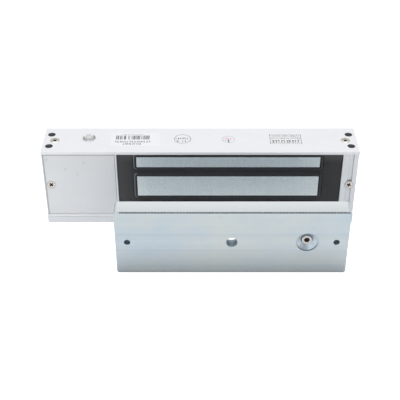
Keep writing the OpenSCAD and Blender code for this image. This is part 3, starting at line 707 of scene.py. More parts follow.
def screw_tree():
    """Screws on marked points: a turned head, a tapered cross recess and a wound thread."""
    tree, source, sink = geometry_tree("cross_screws", [
        ("Head", "NodeSocketFloat"), ("Thread", "NodeSocketFloat"), ("Length", "NodeSocketFloat"),
        ("Recess", "NodeSocketFloat"), ("Pitch", "NodeSocketFloat"), ("Finish", "NodeSocketMaterial")])

    def times(value, factor, plus=0.0):
        return calc(tree, "MULTIPLY_ADD", value, factor, plus)

    def shifted(geometry, z=0.0, turn=0.0):
        place = node(tree, "ShaderNodeCombineXYZ", {"Z": z}).outputs[0]
        return node(tree, "GeometryNodeTransform", {
            "Geometry": geometry, "Translation": place, "Rotation": (0, 0, turn)}).outputs[0]

    rim = 0.18 * MM
    rim_slope = 0.38 * MM
    ridge_height = 0.3 * MM
    wing_width, wing_depth, wing_taper = 0.23, 0.6, 0.55  # shares of the recess's width and depth
    wound_share = 0.6
    cone_height = times(calc(tree, "SUBTRACT", source["Head"], source["Thread"]), 0.5, -rim)
    cone = node(tree, "GeometryNodeMeshCone", {
        "Vertices": 48, "Radius Top": times(source["Head"], 0.5),
        "Radius Bottom": times(source["Thread"], 0.5), "Depth": cone_height}).outputs["Mesh"]
    cone = shifted(cone, times(cone_height, -1.0, -rim))
    top = node(tree, "GeometryNodeMeshCone", {
        "Vertices": 48, "Radius Top": times(source["Head"], 0.5, -rim_slope),
        "Radius Bottom": times(source["Head"], 0.5), "Depth": rim}).outputs["Mesh"]
    top = shifted(top, -rim)
    head = node(tree, "GeometryNodeJoinGeometry")
    tree.links.new(cone, head.inputs[0])
    tree.links.new(top, head.inputs[0])
    welded = node(tree, "GeometryNodeMergeByDistance",
                  {"Geometry": head.outputs[0], "Distance": 0.01 * MM}).outputs[0]

    wing_size = node(tree, "ShaderNodeCombineXYZ", {
        "X": source["Recess"], "Y": times(source["Recess"], wing_width),
        "Z": times(source["Recess"], wing_depth)}).outputs[0]
    wing = node(tree, "GeometryNodeMeshCube", {"Size": wing_size}).outputs["Mesh"]
    spot = node(tree, "GeometryNodeInputPosition").outputs[0]
    below = calc(tree, "LESS_THAN", coordinate(tree, spot, "Z"), 0.0)
    inward = calc(tree, "MULTIPLY", coordinate(tree, spot, "X"), -wing_taper)
    taper = node(tree, "ShaderNodeCombineXYZ", {"X": calc(tree, "MULTIPLY", inward, below)}).outputs[0]
    wing = node(tree, "GeometryNodeSetPosition", {"Geometry": wing, "Offset": taper}).outputs[0]
    crossed = shifted(wing, turn=math.radians(90))
    cutter = node(tree, "GeometryNodeMeshBoolean", {"Mesh 1": welded}, operation="DIFFERENCE",
                  solver="EXACT")
    tree.links.new(wing, cutter.inputs["Mesh 2"])
    tree.links.new(crossed, cutter.inputs["Mesh 2"])

    # Painted shade: the recess attribute is 1 in the cross recess and 0.4 on the head's outer rim, and
    # the finish darkens both.
    level = node(tree, "ShaderNodeVectorMath", {0: spot, 1: (1, 1, 0)}, operation="MULTIPLY")
    reach = node(tree, "ShaderNodeVectorMath", {0: level.outputs[0]}, operation="LENGTH").outputs["Value"]
    central = calc(tree, "LESS_THAN", reach, times(source["Recess"], 0.54))
    sunken = calc(tree, "LESS_THAN", coordinate(tree, spot, "Z"), -0.1 * MM)
    shaded = calc(tree, "MULTIPLY", central, sunken)
    rim_shade = calc(tree, "GREATER_THAN", reach, times(source["Head"], 0.5, -0.3 * MM))
    marked = node(tree, "GeometryNodeStoreNamedAttribute", {
        "Geometry": cutter.outputs[0], "Name": "recess", "Value": times(rim_shade, 0.4, shaded)},
        data_type="FLOAT", domain="FACE")

    neck = times(cone_height, 1.0, rim - 0.05 * MM)
    shank_length = calc(tree, "SUBTRACT", source["Length"], neck)
    shank_radius = times(source["Thread"], 0.5, -0.35 * MM)
    shank = node(tree, "GeometryNodeMeshCylinder",
                 {"Vertices": 24, "Radius": shank_radius, "Depth": shank_length})
    shank = shifted(shank.outputs["Mesh"], times(shank_length, -0.5, times(neck, -1.0)))
    turns = calc(tree, "DIVIDE", source["Length"], source["Pitch"])
    wound = node(tree, "GeometryNodeCurveSpiral", {
        "Resolution": 20, "Rotations": times(turns, wound_share),
        "Height": times(source["Length"], wound_share),
        "Start Radius": shank_radius, "End Radius": shank_radius}).outputs[0]
    ridge = node(tree, "GeometryNodeCurvePrimitiveCircle", {"Resolution": 4, "Radius": ridge_height})
    thread = node(tree, "GeometryNodeCurveToMesh",
                  {"Curve": wound, "Profile Curve": ridge.outputs["Curve"], "Fill Caps": True})
    thread = shifted(thread.outputs[0], times(source["Length"], -1.0, ridge_height))
    screw = node(tree, "GeometryNodeJoinGeometry")
    for piece in (marked.outputs[0], shank, thread):
        tree.links.new(piece, screw.inputs[0])
    way = node(tree, "GeometryNodeInputNamedAttribute", {"Name": "way"}, data_type="FLOAT_VECTOR")
    spin = node(tree, "GeometryNodeInputNamedAttribute", {"Name": "spin"}, data_type="FLOAT")
    about = node(tree, "ShaderNodeCombineXYZ", {"Z": spin.outputs[0]}).outputs[0]
    facing = node(tree, "FunctionNodeAlignRotationToVector", {"Vector": way.outputs[0]}, axis="Z")
    turned = node(tree, "FunctionNodeRotateRotation",
                  {"Rotation": facing.outputs[0], "Rotate By": about}, rotation_space="LOCAL")
    copies = node(tree, "GeometryNodeInstanceOnPoints", {
        "Points": source["Geometry"], "Instance": screw.outputs[0], "Rotation": turned.outputs[0]})
    close_tree(tree, copies.outputs[0], source["Finish"], sink)
    return tree


def marked_points(name, marks):
    """A mesh of points for screws: each has a place, the way its head faces and its spin."""
    mesh = bpy.data.meshes.new(name)
    mesh.from_pydata([place for place, way, spin in marks], [], [])
    mesh.attributes.new("way", "FLOAT_VECTOR", "POINT")
    mesh.attributes.new("spin", "FLOAT", "POINT")
    for index, (place, way, spin) in enumerate(marks):
        mesh.attributes["way"].data[index].vector = way
        mesh.attributes["spin"].data[index].value = math.radians(spin)
    return mesh


screws = screw_tree()
nickel = metal_finish("nickel_plate", tone(186, 182, 176), tone(206, 202, 196), tone(232, 230, 226),
                      0.3, (700, 700, 700), lines=1.6, shade_attribute="recess")
bright_nickel = metal_finish("worn_nickel", tone(216, 212, 202), tone(232, 229, 221),
                             tone(244, 243, 239), 0.36, (700, 700, 700), lines=1.4, shade_attribute="recess")
HEAD_WIDTH = 7.9 * MM
machine_screw = {"Head": HEAD_WIDTH, "Thread": 3.9 * MM, "Recess": 5.2 * MM, "Pitch": 0.7 * MM}
screw_low, screw_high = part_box("housing_screws")
screw_y = (screw_low[1] + screw_high[1]) / 2
screw_xs = (screw_low[0] + HEAD_WIDTH / 2, screw_high[0] - HEAD_WIDTH / 2)
housing_marks = []
for x, spin in zip(screw_xs, (38, 52)):
    housing_marks.append(((x, screw_y, screw_high[2]), (0, 0, 1), spin))
    housing_marks.append(((x, screw_y, screw_low[2]), (0, 0, -1), spin + 20))
grow("underside_screws", screws, marked_points("underside_screw_places", housing_marks),
     {**machine_screw, "Length": 10 * MM, "Finish": bright_nickel},
     "lock", "nickel_steel", "housing_screws", sharp=35)


def face_screw(name, cad_name, body, spin, finish):
    """One short countersunk screw in the magnet side of the lock."""
    low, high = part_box(cad_name)
    place = ((low[0] + high[0]) / 2, low[1], (low[2] + high[2]) / 2)
    grow(name, screws, marked_points(name + "_place", [(place, (0, -1, 0), spin)]),
         {**machine_screw, "Length": 6 * MM, "Finish": finish}, body, "nickel_steel", cad_name,
         sharp=35)


face_screw("right_face_screw", "end_screw_right", "lock", 68, nickel)
face_screw("cover_fixing_screw", "cover_screw", "cover", 45, nickel)
dress(nickel, "board_screws", "terminal_screws", "led_legs")

# ---- body bolts and tamper plugs --------------------------------------------------------------
# Four blackened socket bolts run up from the plate through each end block's bores. Dark plastic
# plugs are pressed into the bores over their heads, a little below the surface.


def plug_tree():
    """Plugs on points: a turned disc with a rounded rim and a shallow dish on top."""
    tree, source, sink = geometry_tree("pressed_plugs", [
        ("Radius", "NodeSocketFloat"), ("Depth", "NodeSocketFloat"), ("Finish", "NodeSocketMaterial")])
    body = node(tree, "GeometryNodeMeshCylinder", {
        "Vertices": 48, "Radius": source["Radius"], "Depth": source["Depth"]})
    inset = node(tree, "GeometryNodeExtrudeMesh", {
        "Mesh": body.outputs["Mesh"], "Selection": body.outputs["Top"], "Offset Scale": 0.0,
        "Individual": False})
    shrunk = node(tree, "GeometryNodeScaleElements", {
        "Geometry": inset.outputs["Mesh"], "Selection": inset.outputs["Top"], "Scale": 0.82})
    sunk = node(tree, "GeometryNodeExtrudeMesh", {
        "Mesh": shrunk.outputs[0], "Selection": inset.outputs["Top"], "Offset Scale": -DISH_DEPTH,
        "Individual": False})
    narrowed = node(tree, "GeometryNodeScaleElements", {
        "Geometry": sunk.outputs["Mesh"], "Selection": sunk.outputs["Top"], "Scale": 0.8})
    copies = node(tree, "GeometryNodeInstanceOnPoints",
                  {"Points": source["Geometry"], "Instance": narrowed.outputs[0]})
    close_tree(tree, copies.outputs[0], source["Finish"], sink)
    return tree


plug_low, plug_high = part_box("tamper_plugs")
PLUG_RADIUS = 3.2 * MM
DISH_DEPTH = 0.3 * MM
plug_mesh = bpy.data.meshes.new("plug_places")
plug_mesh.from_pydata(
    [(x, y, (plug_low[2] + plug_high[2]) / 2)
     for x in (plug_low[0] + PLUG_RADIUS, plug_high[0] - PLUG_RADIUS)
     for y in (plug_low[1] + PLUG_RADIUS, plug_high[1] - PLUG_RADIUS)], [], [])
plug_plastic = plastic_finish("plug_plastic", tone(11, 11, 12), tone(21, 21, 23), 0.4)
grow("pressed_plugs", plug_tree(), plug_mesh,
     {"Radius": PLUG_RADIUS, "Depth": plug_high[2] - plug_low[2], "Finish": plug_plastic},
     "lock", "plug_plastic", "tamper_plugs", sharp=30)
black_oxide = metal_finish("black_oxide", tone(34, 34, 36), tone(50, 50, 52), tone(90, 90, 92),
                           0.4, (600, 600, 600))
dress(black_oxide, "body_bolts")

# ---- status light -----------------------------------------------------------------------------
# A round clear lens over the light's chip, held in a turned and chromed bezel that is pressed
# into the underside of the housing.


def turned(name, profile, centre, steps=64):
    """A solid of revolution about a vertical axis: the profile is (radius, height) points."""
    made = bmesh.new()
    edges = []
    corners = [made.verts.new((centre[0] + radius, centre[1], height)) for radius, height in profile]
    for first, second in zip(corners, corners[1:]):
        edges.append(made.edges.new((first, second)))
    bmesh.ops.spin(made, geom=corners + edges, cent=(centre[0], centre[1], 0), axis=(0, 0, 1),
                   angle=math.tau, steps=steps, use_merge=True)
    bmesh.ops.remove_doubles(made, verts=made.verts, dist=SAME_POINT)
    bmesh.ops.recalc_face_normals(made, faces=made.faces)
    mesh = bpy.data.meshes.new(name)
    made.to_mesh(mesh)
    made.free()
    mesh.shade_smooth()
    mesh.set_sharp_from_angle(angle=math.radians(40))
    return mesh


def arc(centre_radius, centre_height, radius, start, end, steps=8):
    """Points of a quarter or half round in a turned profile, in degrees from outward to up."""
    return [(centre_radius + radius * math.cos(math.radians(start + (end - start) * k / steps)),
             centre_height + radius * math.sin(math.radians(start + (end - start) * k / steps)))
            for k in range(steps + 1)]


def chrome_finish():
    """Decorative chrome over turned brass: a mirror with the faintest turning lines."""
    made, tree, shader, place = start_finish("bezel_chrome", 1.0)
    lines = streaked(tree, place, (200, 200, 3000), 1.5)
    colour = blend_colour(tree, lines, tone(206, 208, 210), tone(232, 233, 234))
    finish_with(tree, shader, colour, between(tree, lines, 0.06, 0.16), lines, 0.004 * MM)
    return made


def lens_finish():
    """Clear moulded plastic, a little milky in the middle where the light is spread."""
    made, tree, shader, place = start_finish("clear_lens", 0.0, IOR=1.49, Transmission_Weight=0.25)
    cloud = streaked(tree, place, (500, 500, 500), 2.0)
    colour = blend_colour(tree, cloud, tone(214, 216, 216), tone(240, 241, 240))
    finish_with(tree, shader, colour, between(tree, cloud, 0.08, 0.16), cloud, 0.01 * MM)
    return made


bezel_low, bezel_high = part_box("led_bezel")
lens_low, lens_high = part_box("status_led")
light_at = ((bezel_low[0] + bezel_high[0]) / 2, (bezel_low[1] + bezel_high[1]) / 2)
top_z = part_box("housing_channel")[1][2]
rim_radius = (bezel_high[0] - bezel_low[0]) / 2
lens_radius = (lens_high[0] - lens_low[0]) / 2
sleeve_radius = lens_radius + 0.55 * MM
bore_radius = lens_radius + 0.05 * MM
rim_round = 0.35 * MM
bezel_profile = [(bore_radius, bezel_low[2]), (sleeve_radius, bezel_low[2]), (sleeve_radius, top_z),
                 (rim_radius, top_z)]
bezel_profile += arc(rim_radius - rim_round, bezel_high[2] - rim_round, rim_round, 0, 90)
bezel_profile += [(bore_radius + 0.5 * MM, bezel_high[2] - 0.1 * MM),
                  (bore_radius, bezel_high[2] - 0.5 * MM), (bore_radius, bezel_low[2])]
bezel_mesh = turned("chrome_bezel", bezel_profile, light_at)
bezel_mesh.materials.append(chrome_finish())
keep_piece("chrome_bezel", bezel_mesh, "lock", "chrome_bezel", "led_bezel")
lens_rise = lens_high[2] - bezel_high[2] + 0.4 * MM
AXIS_GAP = 0.01 * MM
lens_profile = [(AXIS_GAP, lens_low[2]), (lens_radius, lens_low[2])]
lens_profile += [(lens_radius * math.cos(math.radians(a)),
                  lens_high[2] - lens_rise + lens_rise * math.sin(math.radians(a)))
                 for a in range(0, 90, 6)]
lens_profile.append((AXIS_GAP, lens_high[2]))
lens_mesh = turned("light_lens", lens_profile, light_at, steps=48)
lens_mesh.materials.append(lens_finish())
keep_piece("light_lens", lens_mesh, "lock", "clear_lens", "status_led")

# ---- labels -----------------------------------------------------------------------------------
# Printed film stickers on the underside: a bar code, an inspection seal, a small clear seal and a
# framed rating label. The printing is plain bars and dashes with no words.


def film_finish(name, dark, light, rough=0.35):
    """Glossy printed film with a slight warp and tone change."""
    made, tree, shader, place = start_finish(name, 0.0, Coat_Weight=0.25)
    warp = streaked(tree, place, (90, 130, 90), 1.6)
    colour = blend_colour(tree, warp, dark, light)
    finish_with(tree, shader, colour, between(tree, warp, rough - 0.05, rough + 0.05), warp, 0.04 * MM)
    return made


def printed_rows_tree():
    """Rows of short bars with random lengths and gaps, laid flat like print on a label."""
    tree, source, sink = geometry_tree("printed_rows", [
        ("Columns", "NodeSocketInt"), ("Rows", "NodeSocketInt"), ("Width", "NodeSocketFloat"),
        ("Height", "NodeSocketFloat"), ("Place", "NodeSocketVector"), ("Turn", "NodeSocketVector"),
        ("Bar", "NodeSocketVector"), ("Thinnest", "NodeSocketFloat"), ("Lowest", "NodeSocketFloat"),
        ("Drift", "NodeSocketVector"), ("Share", "NodeSocketFloat"), ("Seed", "NodeSocketInt"),
        ("Finish", "NodeSocketMaterial")])
    grid = node(tree, "GeometryNodeMeshGrid", {
        "Size X": source["Width"], "Size Y": source["Height"], "Vertices X": source["Columns"],
        "Vertices Y": source["Rows"]})
    back = node(tree, "ShaderNodeVectorMath", {0: source["Drift"], "Scale": -1.0}, operation="SCALE")
    wander = node(tree, "FunctionNodeRandomValue", {0: back.outputs[0], 1: source["Drift"],
                  "Seed": source["Seed"]}, data_type="FLOAT_VECTOR")
    loose = node(tree, "GeometryNodeSetPosition",
                 {"Geometry": grid.outputs["Mesh"], "Offset": wander.outputs["Value"]})
    keep = node(tree, "FunctionNodeRandomValue", {"Probability": source["Share"],
                "Seed": source["Seed"]}, data_type="BOOLEAN")
    width = node(tree, "FunctionNodeRandomValue", {2: source["Thinnest"], 3: 1.0,
                 "Seed": source["Seed"]}, data_type="FLOAT")
    height = node(tree, "FunctionNodeRandomValue", {2: source["Lowest"], 3: 1.0,
                  "Seed": 5}, data_type="FLOAT")
    size = node(tree, "ShaderNodeCombineXYZ", {"X": width.outputs[1], "Y": height.outputs[1],
                                               "Z": 1.0})
    bar = node(tree, "GeometryNodeMeshCube", {"Size": source["Bar"]})
    copies = node(tree, "GeometryNodeInstanceOnPoints", {
        "Points": loose.outputs[0], "Selection": keep.outputs[3], "Instance": bar.outputs["Mesh"],
        "Scale": size.outputs[0]})
    placed = node(tree, "GeometryNodeTransform", {
        "Geometry": copies.outputs[0], "Translation": source["Place"], "Rotation": source["Turn"]})
    close_tree(tree, placed.outputs[0], source["Finish"], sink, smooth=False)
    return tree


printed_rows = printed_rows_tree()
INK = 0.02 * MM
STROKES = 1.9  # upright strokes in a stretch as long as the print is high


def print_rows(name, place, grid, size, bar, ink, share=1.0, thinnest=1.0, lowest=1.0, drift=0.0,
               seed=1, turn=0.0):
    """One block of print on a label: its middle, its columns and rows, and sizes in millimetres."""
    grow(name, printed_rows, bpy.data.meshes.new(name + "_base"),
         {"Columns": grid[0], "Rows": grid[1], "Width": size[0] * MM, "Height": size[1] * MM,
          "Place": (place[0], place[1], label_top), "Turn": (0, 0, math.radians(turn)),
          "Bar": (bar[0] * MM, bar[1] * MM, INK), "Thinnest": thinnest, "Lowest": lowest,
          "Drift": (0, drift * MM, 0), "Share": share, "Seed": seed, "Finish": ink},
         "lock", "black_plastic")


def print_words(name, place, width, height, ink, seed, turn=0.0):
    """A line of make-believe print: upright and level strokes that spell nothing."""
    count = round(width / height * STROKES)
    print_rows(name + "_upright", place, (count, 1), (width, 0), (height * 0.2, height), ink,
               share=0.92, thinnest=0.6, lowest=0.55, drift=height * 0.12, seed=seed, turn=turn)
    print_rows(name + "_level", place, (round(count * 0.6), 2), (width, height * 0.62),
               (height * 0.62, height * 0.17), ink, share=0.72, thinnest=0.5, drift=height * 0.1,
               seed=seed + 1, turn=turn)


def middle(name):
    """The middle of a CAD piece in plan."""
    low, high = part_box(name)
    return ((low[0] + high[0]) / 2, (low[1] + high[1]) / 2)


label_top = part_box("barcode_label")[1][2]
dress(film_finish("white_film", tone(235, 236, 240), tone(240, 241, 243)), "barcode_label")
dress(film_finish("clear_film", tone(229, 231, 234), tone(235, 237, 239)), "inspection_sticker",
      "seal_sticker")
dress(film_finish("rating_film", tone(228, 230, 232), tone(234, 236, 238)), "rating_label")
black_ink = plastic_finish("black_ink", tone(28, 28, 32), tone(48, 48, 52), 0.5)
grey_ink = plastic_finish("grey_ink", tone(82, 82, 90), tone(108, 108, 114), 0.5)
faint_ink = plastic_finish("faint_ink", tone(150, 152, 160), tone(174, 176, 182), 0.5)
red_ink = plastic_finish("red_ink", tone(224, 138, 138), tone(232, 156, 154), 0.5)
blue_ink = plastic_finish("blue_ink", tone(140, 146, 172), tone(160, 164, 188), 0.5)

bars_x, bars_y = middle("barcode_label")
bars_x -= 2.3 * MM
print_rows("bar_code", (bars_x, bars_y + 2.7 * MM), (33, 1), (27.6, 0), (0.8, 6.3), black_ink,
           share=0.72, thinnest=0.3, seed=4)
print_words("code_digits", (bars_x + 0.1 * MM, bars_y + 7.3 * MM), 16.4, 1.5, faint_ink, 9)
print_words("label_line", (bars_x + 0.2 * MM, bars_y - 4.1 * MM), 29.0, 2.6, black_ink, 14)
print_words("label_heading", (bars_x - 0.2 * MM, bars_y - 7.7 * MM), 14.0, 2.6, black_ink, 11)


def printed_ring(name, centre, radius, width, ink):
    """A thin printed circle."""
    mesh = turned(name, [(radius - width / 2, label_top), (radius + width / 2, label_top),
                         (radius + width / 2, label_top + INK), (radius - width / 2, label_top + INK),
                         (radius - width / 2, label_top)], centre, steps=72)
    mesh.materials.append(ink)
    keep_piece(name, mesh, "lock", "black_plastic")


seal_at = middle("inspection_sticker")
printed_ring("seal_outline", seal_at, 6.9 * MM, 0.42 * MM, grey_ink)
print_words("seal_marks", (seal_at[0] - 0.6 * MM, seal_at[1] + 0.9 * MM), 9.2, 2.9, black_ink, 3)
print_words("seal_words", (seal_at[0] - 0.8 * MM, seal_at[1] - 3.2 * MM), 6.4, 3.1, black_ink, 6)
clear_at = middle("seal_sticker")
printed_ring("clear_seal_outline", clear_at, 5.2 * MM, 0.3 * MM, faint_ink)
print_rows("clear_seal_pointer", (clear_at[0], clear_at[1] + 1.0 * MM), (1, 1), (0, 0), (6.6, 0.8),
           red_ink, turn=-20)
print_words("clear_seal_scale", (clear_at[0] - 2.4 * MM, clear_at[1] - 2.0 * MM), 3.8, 2.8, blue_ink, 2)
print_rows("clear_seal_hand", (clear_at[0] + 0.2 * MM, clear_at[1] - 2.6 * MM), (1, 1), (0, 0),
           (0.8, 4.6), grey_ink)

rating_at = middle("rating_label")
rating_y = rating_at[1] - 0.2 * MM
FRAME_W, FRAME_H, FRAME_LINE = 26.2, 13.4, 0.45
for side, edge_name, end_name in ((-1, "front", "left"), (1, "back", "right")):
    print_rows("frame_end_" + end_name, (rating_at[0] + side * FRAME_W / 2 * MM, rating_y),
               (1, 9), (0, FRAME_H), (FRAME_LINE, 1.3), black_ink)
    print_rows("frame_edge_" + edge_name, (rating_at[0], rating_y + side * FRAME_H / 2 * MM),
               (17, 1), (FRAME_W, 0), (1.25, FRAME_LINE), black_ink)
print_words("rating_heading", (rating_at[0], rating_y - 3.6 * MM), 21.0, 4.2, black_ink, 21)
print_words("rating_middle", (rating_at[0], rating_y + 1.4 * MM), 24.0, 1.9, black_ink, 17)
print_words("rating_top", (rating_at[0], rating_y + 4.8 * MM), 22.0, 1.9, black_ink, 27)

# ---- wiring cover -----------------------------------------------------------------------------
# A flat sheet of the same clear-anodised aluminium, guillotined, with softened edges. Handling
# has left a few faint marks on it. One countersunk screw holds it, and it lifts off.


def cover_finish():
    """Fine etched satin with sparse grey handling marks, and painted shade along the top and left edges
    for the gaps there.
    """
    made, tree, shader, place = start_finish("etched_cover", 0.12)
    satin = streaked(tree, place, 900, 1.4)
    cloud = streaked(tree, place, (42, 42, 60), 1.8)
    spots = speckled(tree, place, 130.0, 0.22, 0.55)
    height = coordinate(tree, place, "Z")
    marks = calc(tree, "MULTIPLY", spots, ramp(tree, height, 38 * MM, 52 * MM))
    base = blend_colour(tree, satin, tone(215, 218, 221), tone(222, 225, 228))
    clouded = blend_colour(tree, between(tree, cloud, 0.0, 0.5), base, tone(211, 214, 218))
    marked = blend_colour(tree, between(tree, marks, 0.0, 0.4), clouded, tone(150, 152, 156))
    cover_low, cover_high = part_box("wiring_cover")
    # Painted shade: a dark band along the top and left edges stands for the shadow in the gaps under the
    # lip and beside the wall.
    top_gap_shade = ramp(tree, height, cover_high[2] - 1.0 * MM, cover_high[2] - 0.3 * MM)
    side_gap_shade = ramp(tree, coordinate(tree, place, "X"), cover_low[0] + 0.8 * MM, cover_low[0] + 0.2 * MM)
    gap_shade = calc(tree, "MAXIMUM", top_gap_shade, side_gap_shade)
    gap_shaded = blend_colour(tree, between(tree, gap_shade, 0.0, 0.8), marked, tone(148, 151, 154))
    finish_with(tree, shader, gap_shaded, between(tree, satin, 0.44, 0.56), satin, 0.015 * MM)
    return made


rounded_copy("anodised_cover", "wiring_cover", 0.12 * MM, cover_finish(), "anodised_aluminium", "cover")

# ---- armature plate ---------------------------------------------------------------------------
# A thick flat bar of soft iron, sawn, drilled and bright zinc plated. The rolling lines run along
# it, and the plating has clouds of blue and faint yellow. The sawn top edge keeps its tooth marks.


arm_low, arm_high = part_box("armature_plate")


def zinc_finish():
    """Bright zinc: drawn lines along the bar, gathered in two bands, under a blue to straw bloom."""
    made, tree, shader, place = start_finish("bright_zinc", 1.0)
    fine = streaked(tree, place, (9, 700, 900), 1.2)
    broad = streaked(tree, place, (2.5, 60, 1300), 3.2)
    bloom = streaked(tree, place, (17, 15, 15), 3.0)
    straw = streaked(tree, place, (26, 40, 30), 3.4)
    grit = streaked(tree, place, 900, 1.6)
    pits = speckled(tree, place, 130.0, 0.1, 0.12)
    corner = use(tree, worn_edge, {"Radius": 0.4 * MM})
    height = coordinate(tree, place, "Z")
    bands = node(tree, "ShaderNodeTexWave", {"Vector": place, "Scale": 19.0, "Distortion": 0.0,
                 "Phase Offset": 0.6}, wave_type="BANDS", bands_direction="Z")
    ruled = calc(tree, "MULTIPLY", bands.outputs["Fac"], ramp(tree, height, 44 * MM, 40 * MM))
    lines = calc(tree, "MULTIPLY", broad, ruled)
    base = blend_colour(tree, bloom, tone(173, 189, 204), tone(186, 195, 198))
    tinted = blend_colour(tree, between(tree, straw, 0.0, 0.45), base, tone(204, 203, 191))
    lined = blend_colour(tree, between(tree, lines, 0.0, 0.5), tinted, tone(160, 175, 190))
    drawn = blend_colour(tree, between(tree, fine, 0.0, 0.25), lined, tone(214, 221, 225))
    gritty = blend_colour(tree, between(tree, grit, 0.0, 0.22), drawn, tone(164, 176, 184))
    pitted = blend_colour(tree, between(tree, pits, 0.0, 0.6), gritty, tone(120, 130, 136))
    # Painted shade: the front darkens towards the bottom, and more at its foot, for the shaded floor it
    # reflects there.
    lower_shade = ramp(tree, height, 26 * MM, 0.0)
    shaded_low = blend_colour(tree, between(tree, lower_shade, 0.0, 0.6), pitted, tone(146, 152, 152))
    foot_shade = ramp(tree, height, 2.2 * MM, 0.0)
    shaded_low = blend_colour(tree, between(tree, foot_shade, 0.0, 0.6), shaded_low, tone(112, 118, 118))
    behind = coordinate(tree, place, "Y")
    # Painted light: faces more than a millimetre behind the front, the bores' walls above all, are
    # blended towards pale blue zinc as a painted reflection in the holes; plated carries it.
    lit_bores = ramp(tree, behind, arm_low[1] + 0.4 * MM, arm_low[1] + 1.2 * MM)
    plated = blend_colour(tree, between(tree, lit_bores, 0.0, 0.7), shaded_low, tone(196, 210, 222))
    top_face = ramp(tree, height, arm_high[2] - 0.5 * MM, arm_high[2] - 0.1 * MM)
    sawn = blend_colour(tree, grit, tone(215, 220, 222), tone(224, 229, 231))
    near = ramp(tree, behind, arm_high[1], arm_low[1])
    toned = blend_colour(tree, between(tree, near, 0.0, 0.6), sawn, tone(194, 200, 202))
    whole = blend_colour(tree, top_face, plated, toned)
    tree.links.new(between(tree, top_face, 1.0, 0.3), shader.inputs["Metallic"])
    finish_with(tree, shader, whole, between(tree, broad, 0.38, 0.5), fine, 0.01 * MM, corner["Normal"])
    return made


def saw_teeth_tree():
    """Slanted nicks along an edge: narrow rounded bodies, each leaning the same way, that stand for the
    saw's grooves.
    """
    tree, source, sink = geometry_tree("saw_teeth", [
        ("Count", "NodeSocketInt"), ("Start", "NodeSocketVector"), ("Pitch", "NodeSocketFloat"),
        ("Length", "NodeSocketFloat"), ("Width", "NodeSocketFloat"), ("Lean", "NodeSocketVector"),
        ("Finish", "NodeSocketMaterial")])
    step = node(tree, "ShaderNodeCombineXYZ", {"X": source["Pitch"]})
    row = node(tree, "GeometryNodeMeshLine", {
        "Count": source["Count"], "Start Location": source["Start"], "Offset": step.outputs[0]})
    nick = node(tree, "GeometryNodeMeshUVSphere", {"Segments": 8, "Rings": 6, "Radius": 1.0})
    thin = calc(tree, "MULTIPLY", source["Width"], 0.5)
    size = node(tree, "ShaderNodeCombineXYZ",
                {"X": calc(tree, "MULTIPLY", source["Length"], 0.5), "Y": thin, "Z": thin})
    stretch = node(tree, "GeometryNodeTransform", {
        "Geometry": nick.outputs["Mesh"], "Scale": size.outputs[0], "Rotation": source["Lean"]})
    uneven = node(tree, "FunctionNodeRandomValue", {2: 0.8, 3: 1.0, "Seed": 12}, data_type="FLOAT")
    copies = node(tree, "GeometryNodeInstanceOnPoints", {
        "Points": row.outputs[0], "Instance": stretch.outputs[0], "Scale": uneven.outputs[1]})
    close_tree(tree, copies.outputs[0], source["Finish"], sink)
    return tree


def sawn_finish():
    """The sawn chamfer: plating over dark tooth marks, which begin a little in from the left end."""
    made, tree, shader, place = start_finish("sawn_chamfer", 1.0)
    torn = streaked(tree, place, (420, 900, 900), 2.6)
    begun = ramp(tree, coordinate(tree, place, "X"), arm_low[0] + 4.2 * MM, arm_low[0] + 5.6 * MM)
    marks = blend_colour(tree, torn, tone(128, 136, 142), tone(164, 172, 178))
    colour = blend_colour(tree, begun, tone(206, 214, 218), marks)
    finish_with(tree, shader, colour, between(tree, torn, 0.4, 0.6), torn, 0.06 * MM)
    return made


def chamfer_top_edge(mesh):
    """Cuts a narrow chamfer along the armature's upper front edge, with its own material."""
    made = bmesh.new()
    made.from_mesh(mesh)
    cut = bmesh.ops.bisect_plane(
        made, geom=list(made.verts) + list(made.edges) + list(made.faces), clear_outer=True,
        plane_co=(0, arm_low[1], arm_high[2] - CHAMFER), plane_no=(0, -1, 1))
    rim = [item for item in cut["geom_cut"] if isinstance(item, bmesh.types.BMEdge)]
    for face in bmesh.ops.edgenet_fill(made, edges=rim)["faces"]:
        face.material_index = 1
    bmesh.ops.recalc_face_normals(made, faces=made.faces)
    for edge in rim:
        edge.smooth = False
    for face in made.faces:
        face.smooth = face.calc_area() < FLAT_FACE
    made.to_mesh(mesh)
    made.free()


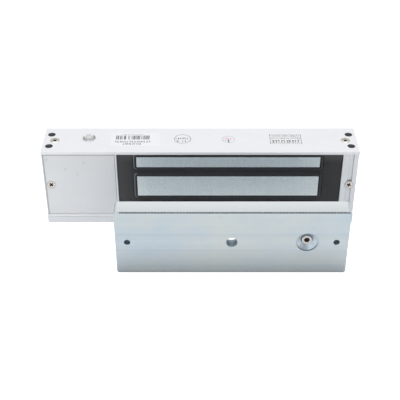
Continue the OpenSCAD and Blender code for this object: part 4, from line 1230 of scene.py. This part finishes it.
CHAMFER = 0.95 * MM
FLAT_FACE = 200 * MM ** 2
armature = rounded_copy("zinc_armature", "armature_plate", 0.35 * MM, zinc_finish(), "zinc_steel",
                        "armature", segments=3, sharpest=50)
armature.data.materials.append(sawn_finish())
chamfer_top_edge(armature.data)
TOOTH_PITCH = 2.5 * MM
TOOTH_LENGTH = 1.8 * MM
BARE_EDGE = 5 * MM
tooth_count = int((arm_high[0] - arm_low[0] - BARE_EDGE - TOOTH_LENGTH) / TOOTH_PITCH)
# Painted shade: the nicks are a dark steel, for the shade in the saw's grooves.
nick_shade_steel = metal_finish("nick_shade_steel", tone(52, 58, 66), tone(78, 86, 94), tone(104, 112, 120),
                          0.5, (500, 500, 500))
grow("sawn_edge", saw_teeth_tree(), bpy.data.meshes.new("sawn_edge_base"),
     {"Count": tooth_count, "Pitch": TOOTH_PITCH, "Length": TOOTH_LENGTH, "Width": 0.7 * MM,
      "Start": (arm_low[0] + BARE_EDGE, arm_low[1] + CHAMFER / 2, arm_high[2] - CHAMFER / 2),
      "Lean": (math.radians(45), math.radians(22), math.radians(-22)), "Finish": nick_shade_steel},
     "armature", "zinc_steel")


def set_screw_finish():
    """Nickel-plated socket set screw: its hexagon socket is painted dark, as painted shade."""
    made, tree, shader, place = start_finish("socket_nickel", 1.0)
    grain = streaked(tree, place, 700, 1.6)
    low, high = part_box("ejector_set_screw")
    axis = ((low[0] + high[0]) / 2, 0, (low[2] + high[2]) / 2)
    flat = node(tree, "ShaderNodeVectorMath", {0: place, 1: (1, 0, 1)}, operation="MULTIPLY")
    apart = node(tree, "ShaderNodeVectorMath", {0: flat.outputs[0], 1: axis}, operation="DISTANCE")
    # Painted shade: the middle of the head, over the socket, is blended towards near black.
    socket = ramp(tree, apart.outputs["Value"], 2.7 * MM, 2.1 * MM)
    colour = blend_colour(tree, grain, tone(184, 181, 178), tone(204, 201, 198))
    dark = blend_colour(tree, between(tree, socket, 0.0, 0.7), colour, tone(46, 40, 40))
    finish_with(tree, shader, dark, between(tree, grain, 0.25, 0.4), grain, 0.02 * MM)
    return made


dress(set_screw_finish(), "ejector_set_screw")
dress(nickel, "ejector_plunger")
spring_wire = metal_finish("spring_wire", tone(176, 176, 174), tone(206, 206, 204),
                           tone(226, 226, 226), 0.3, (500, 500, 500))
pressed_coil = merged_copy("pressed_coil", "ejector_spring", spring_wire, "armature", "nickel_steel",
                           whole_faces=False)
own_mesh(pressed_coil)
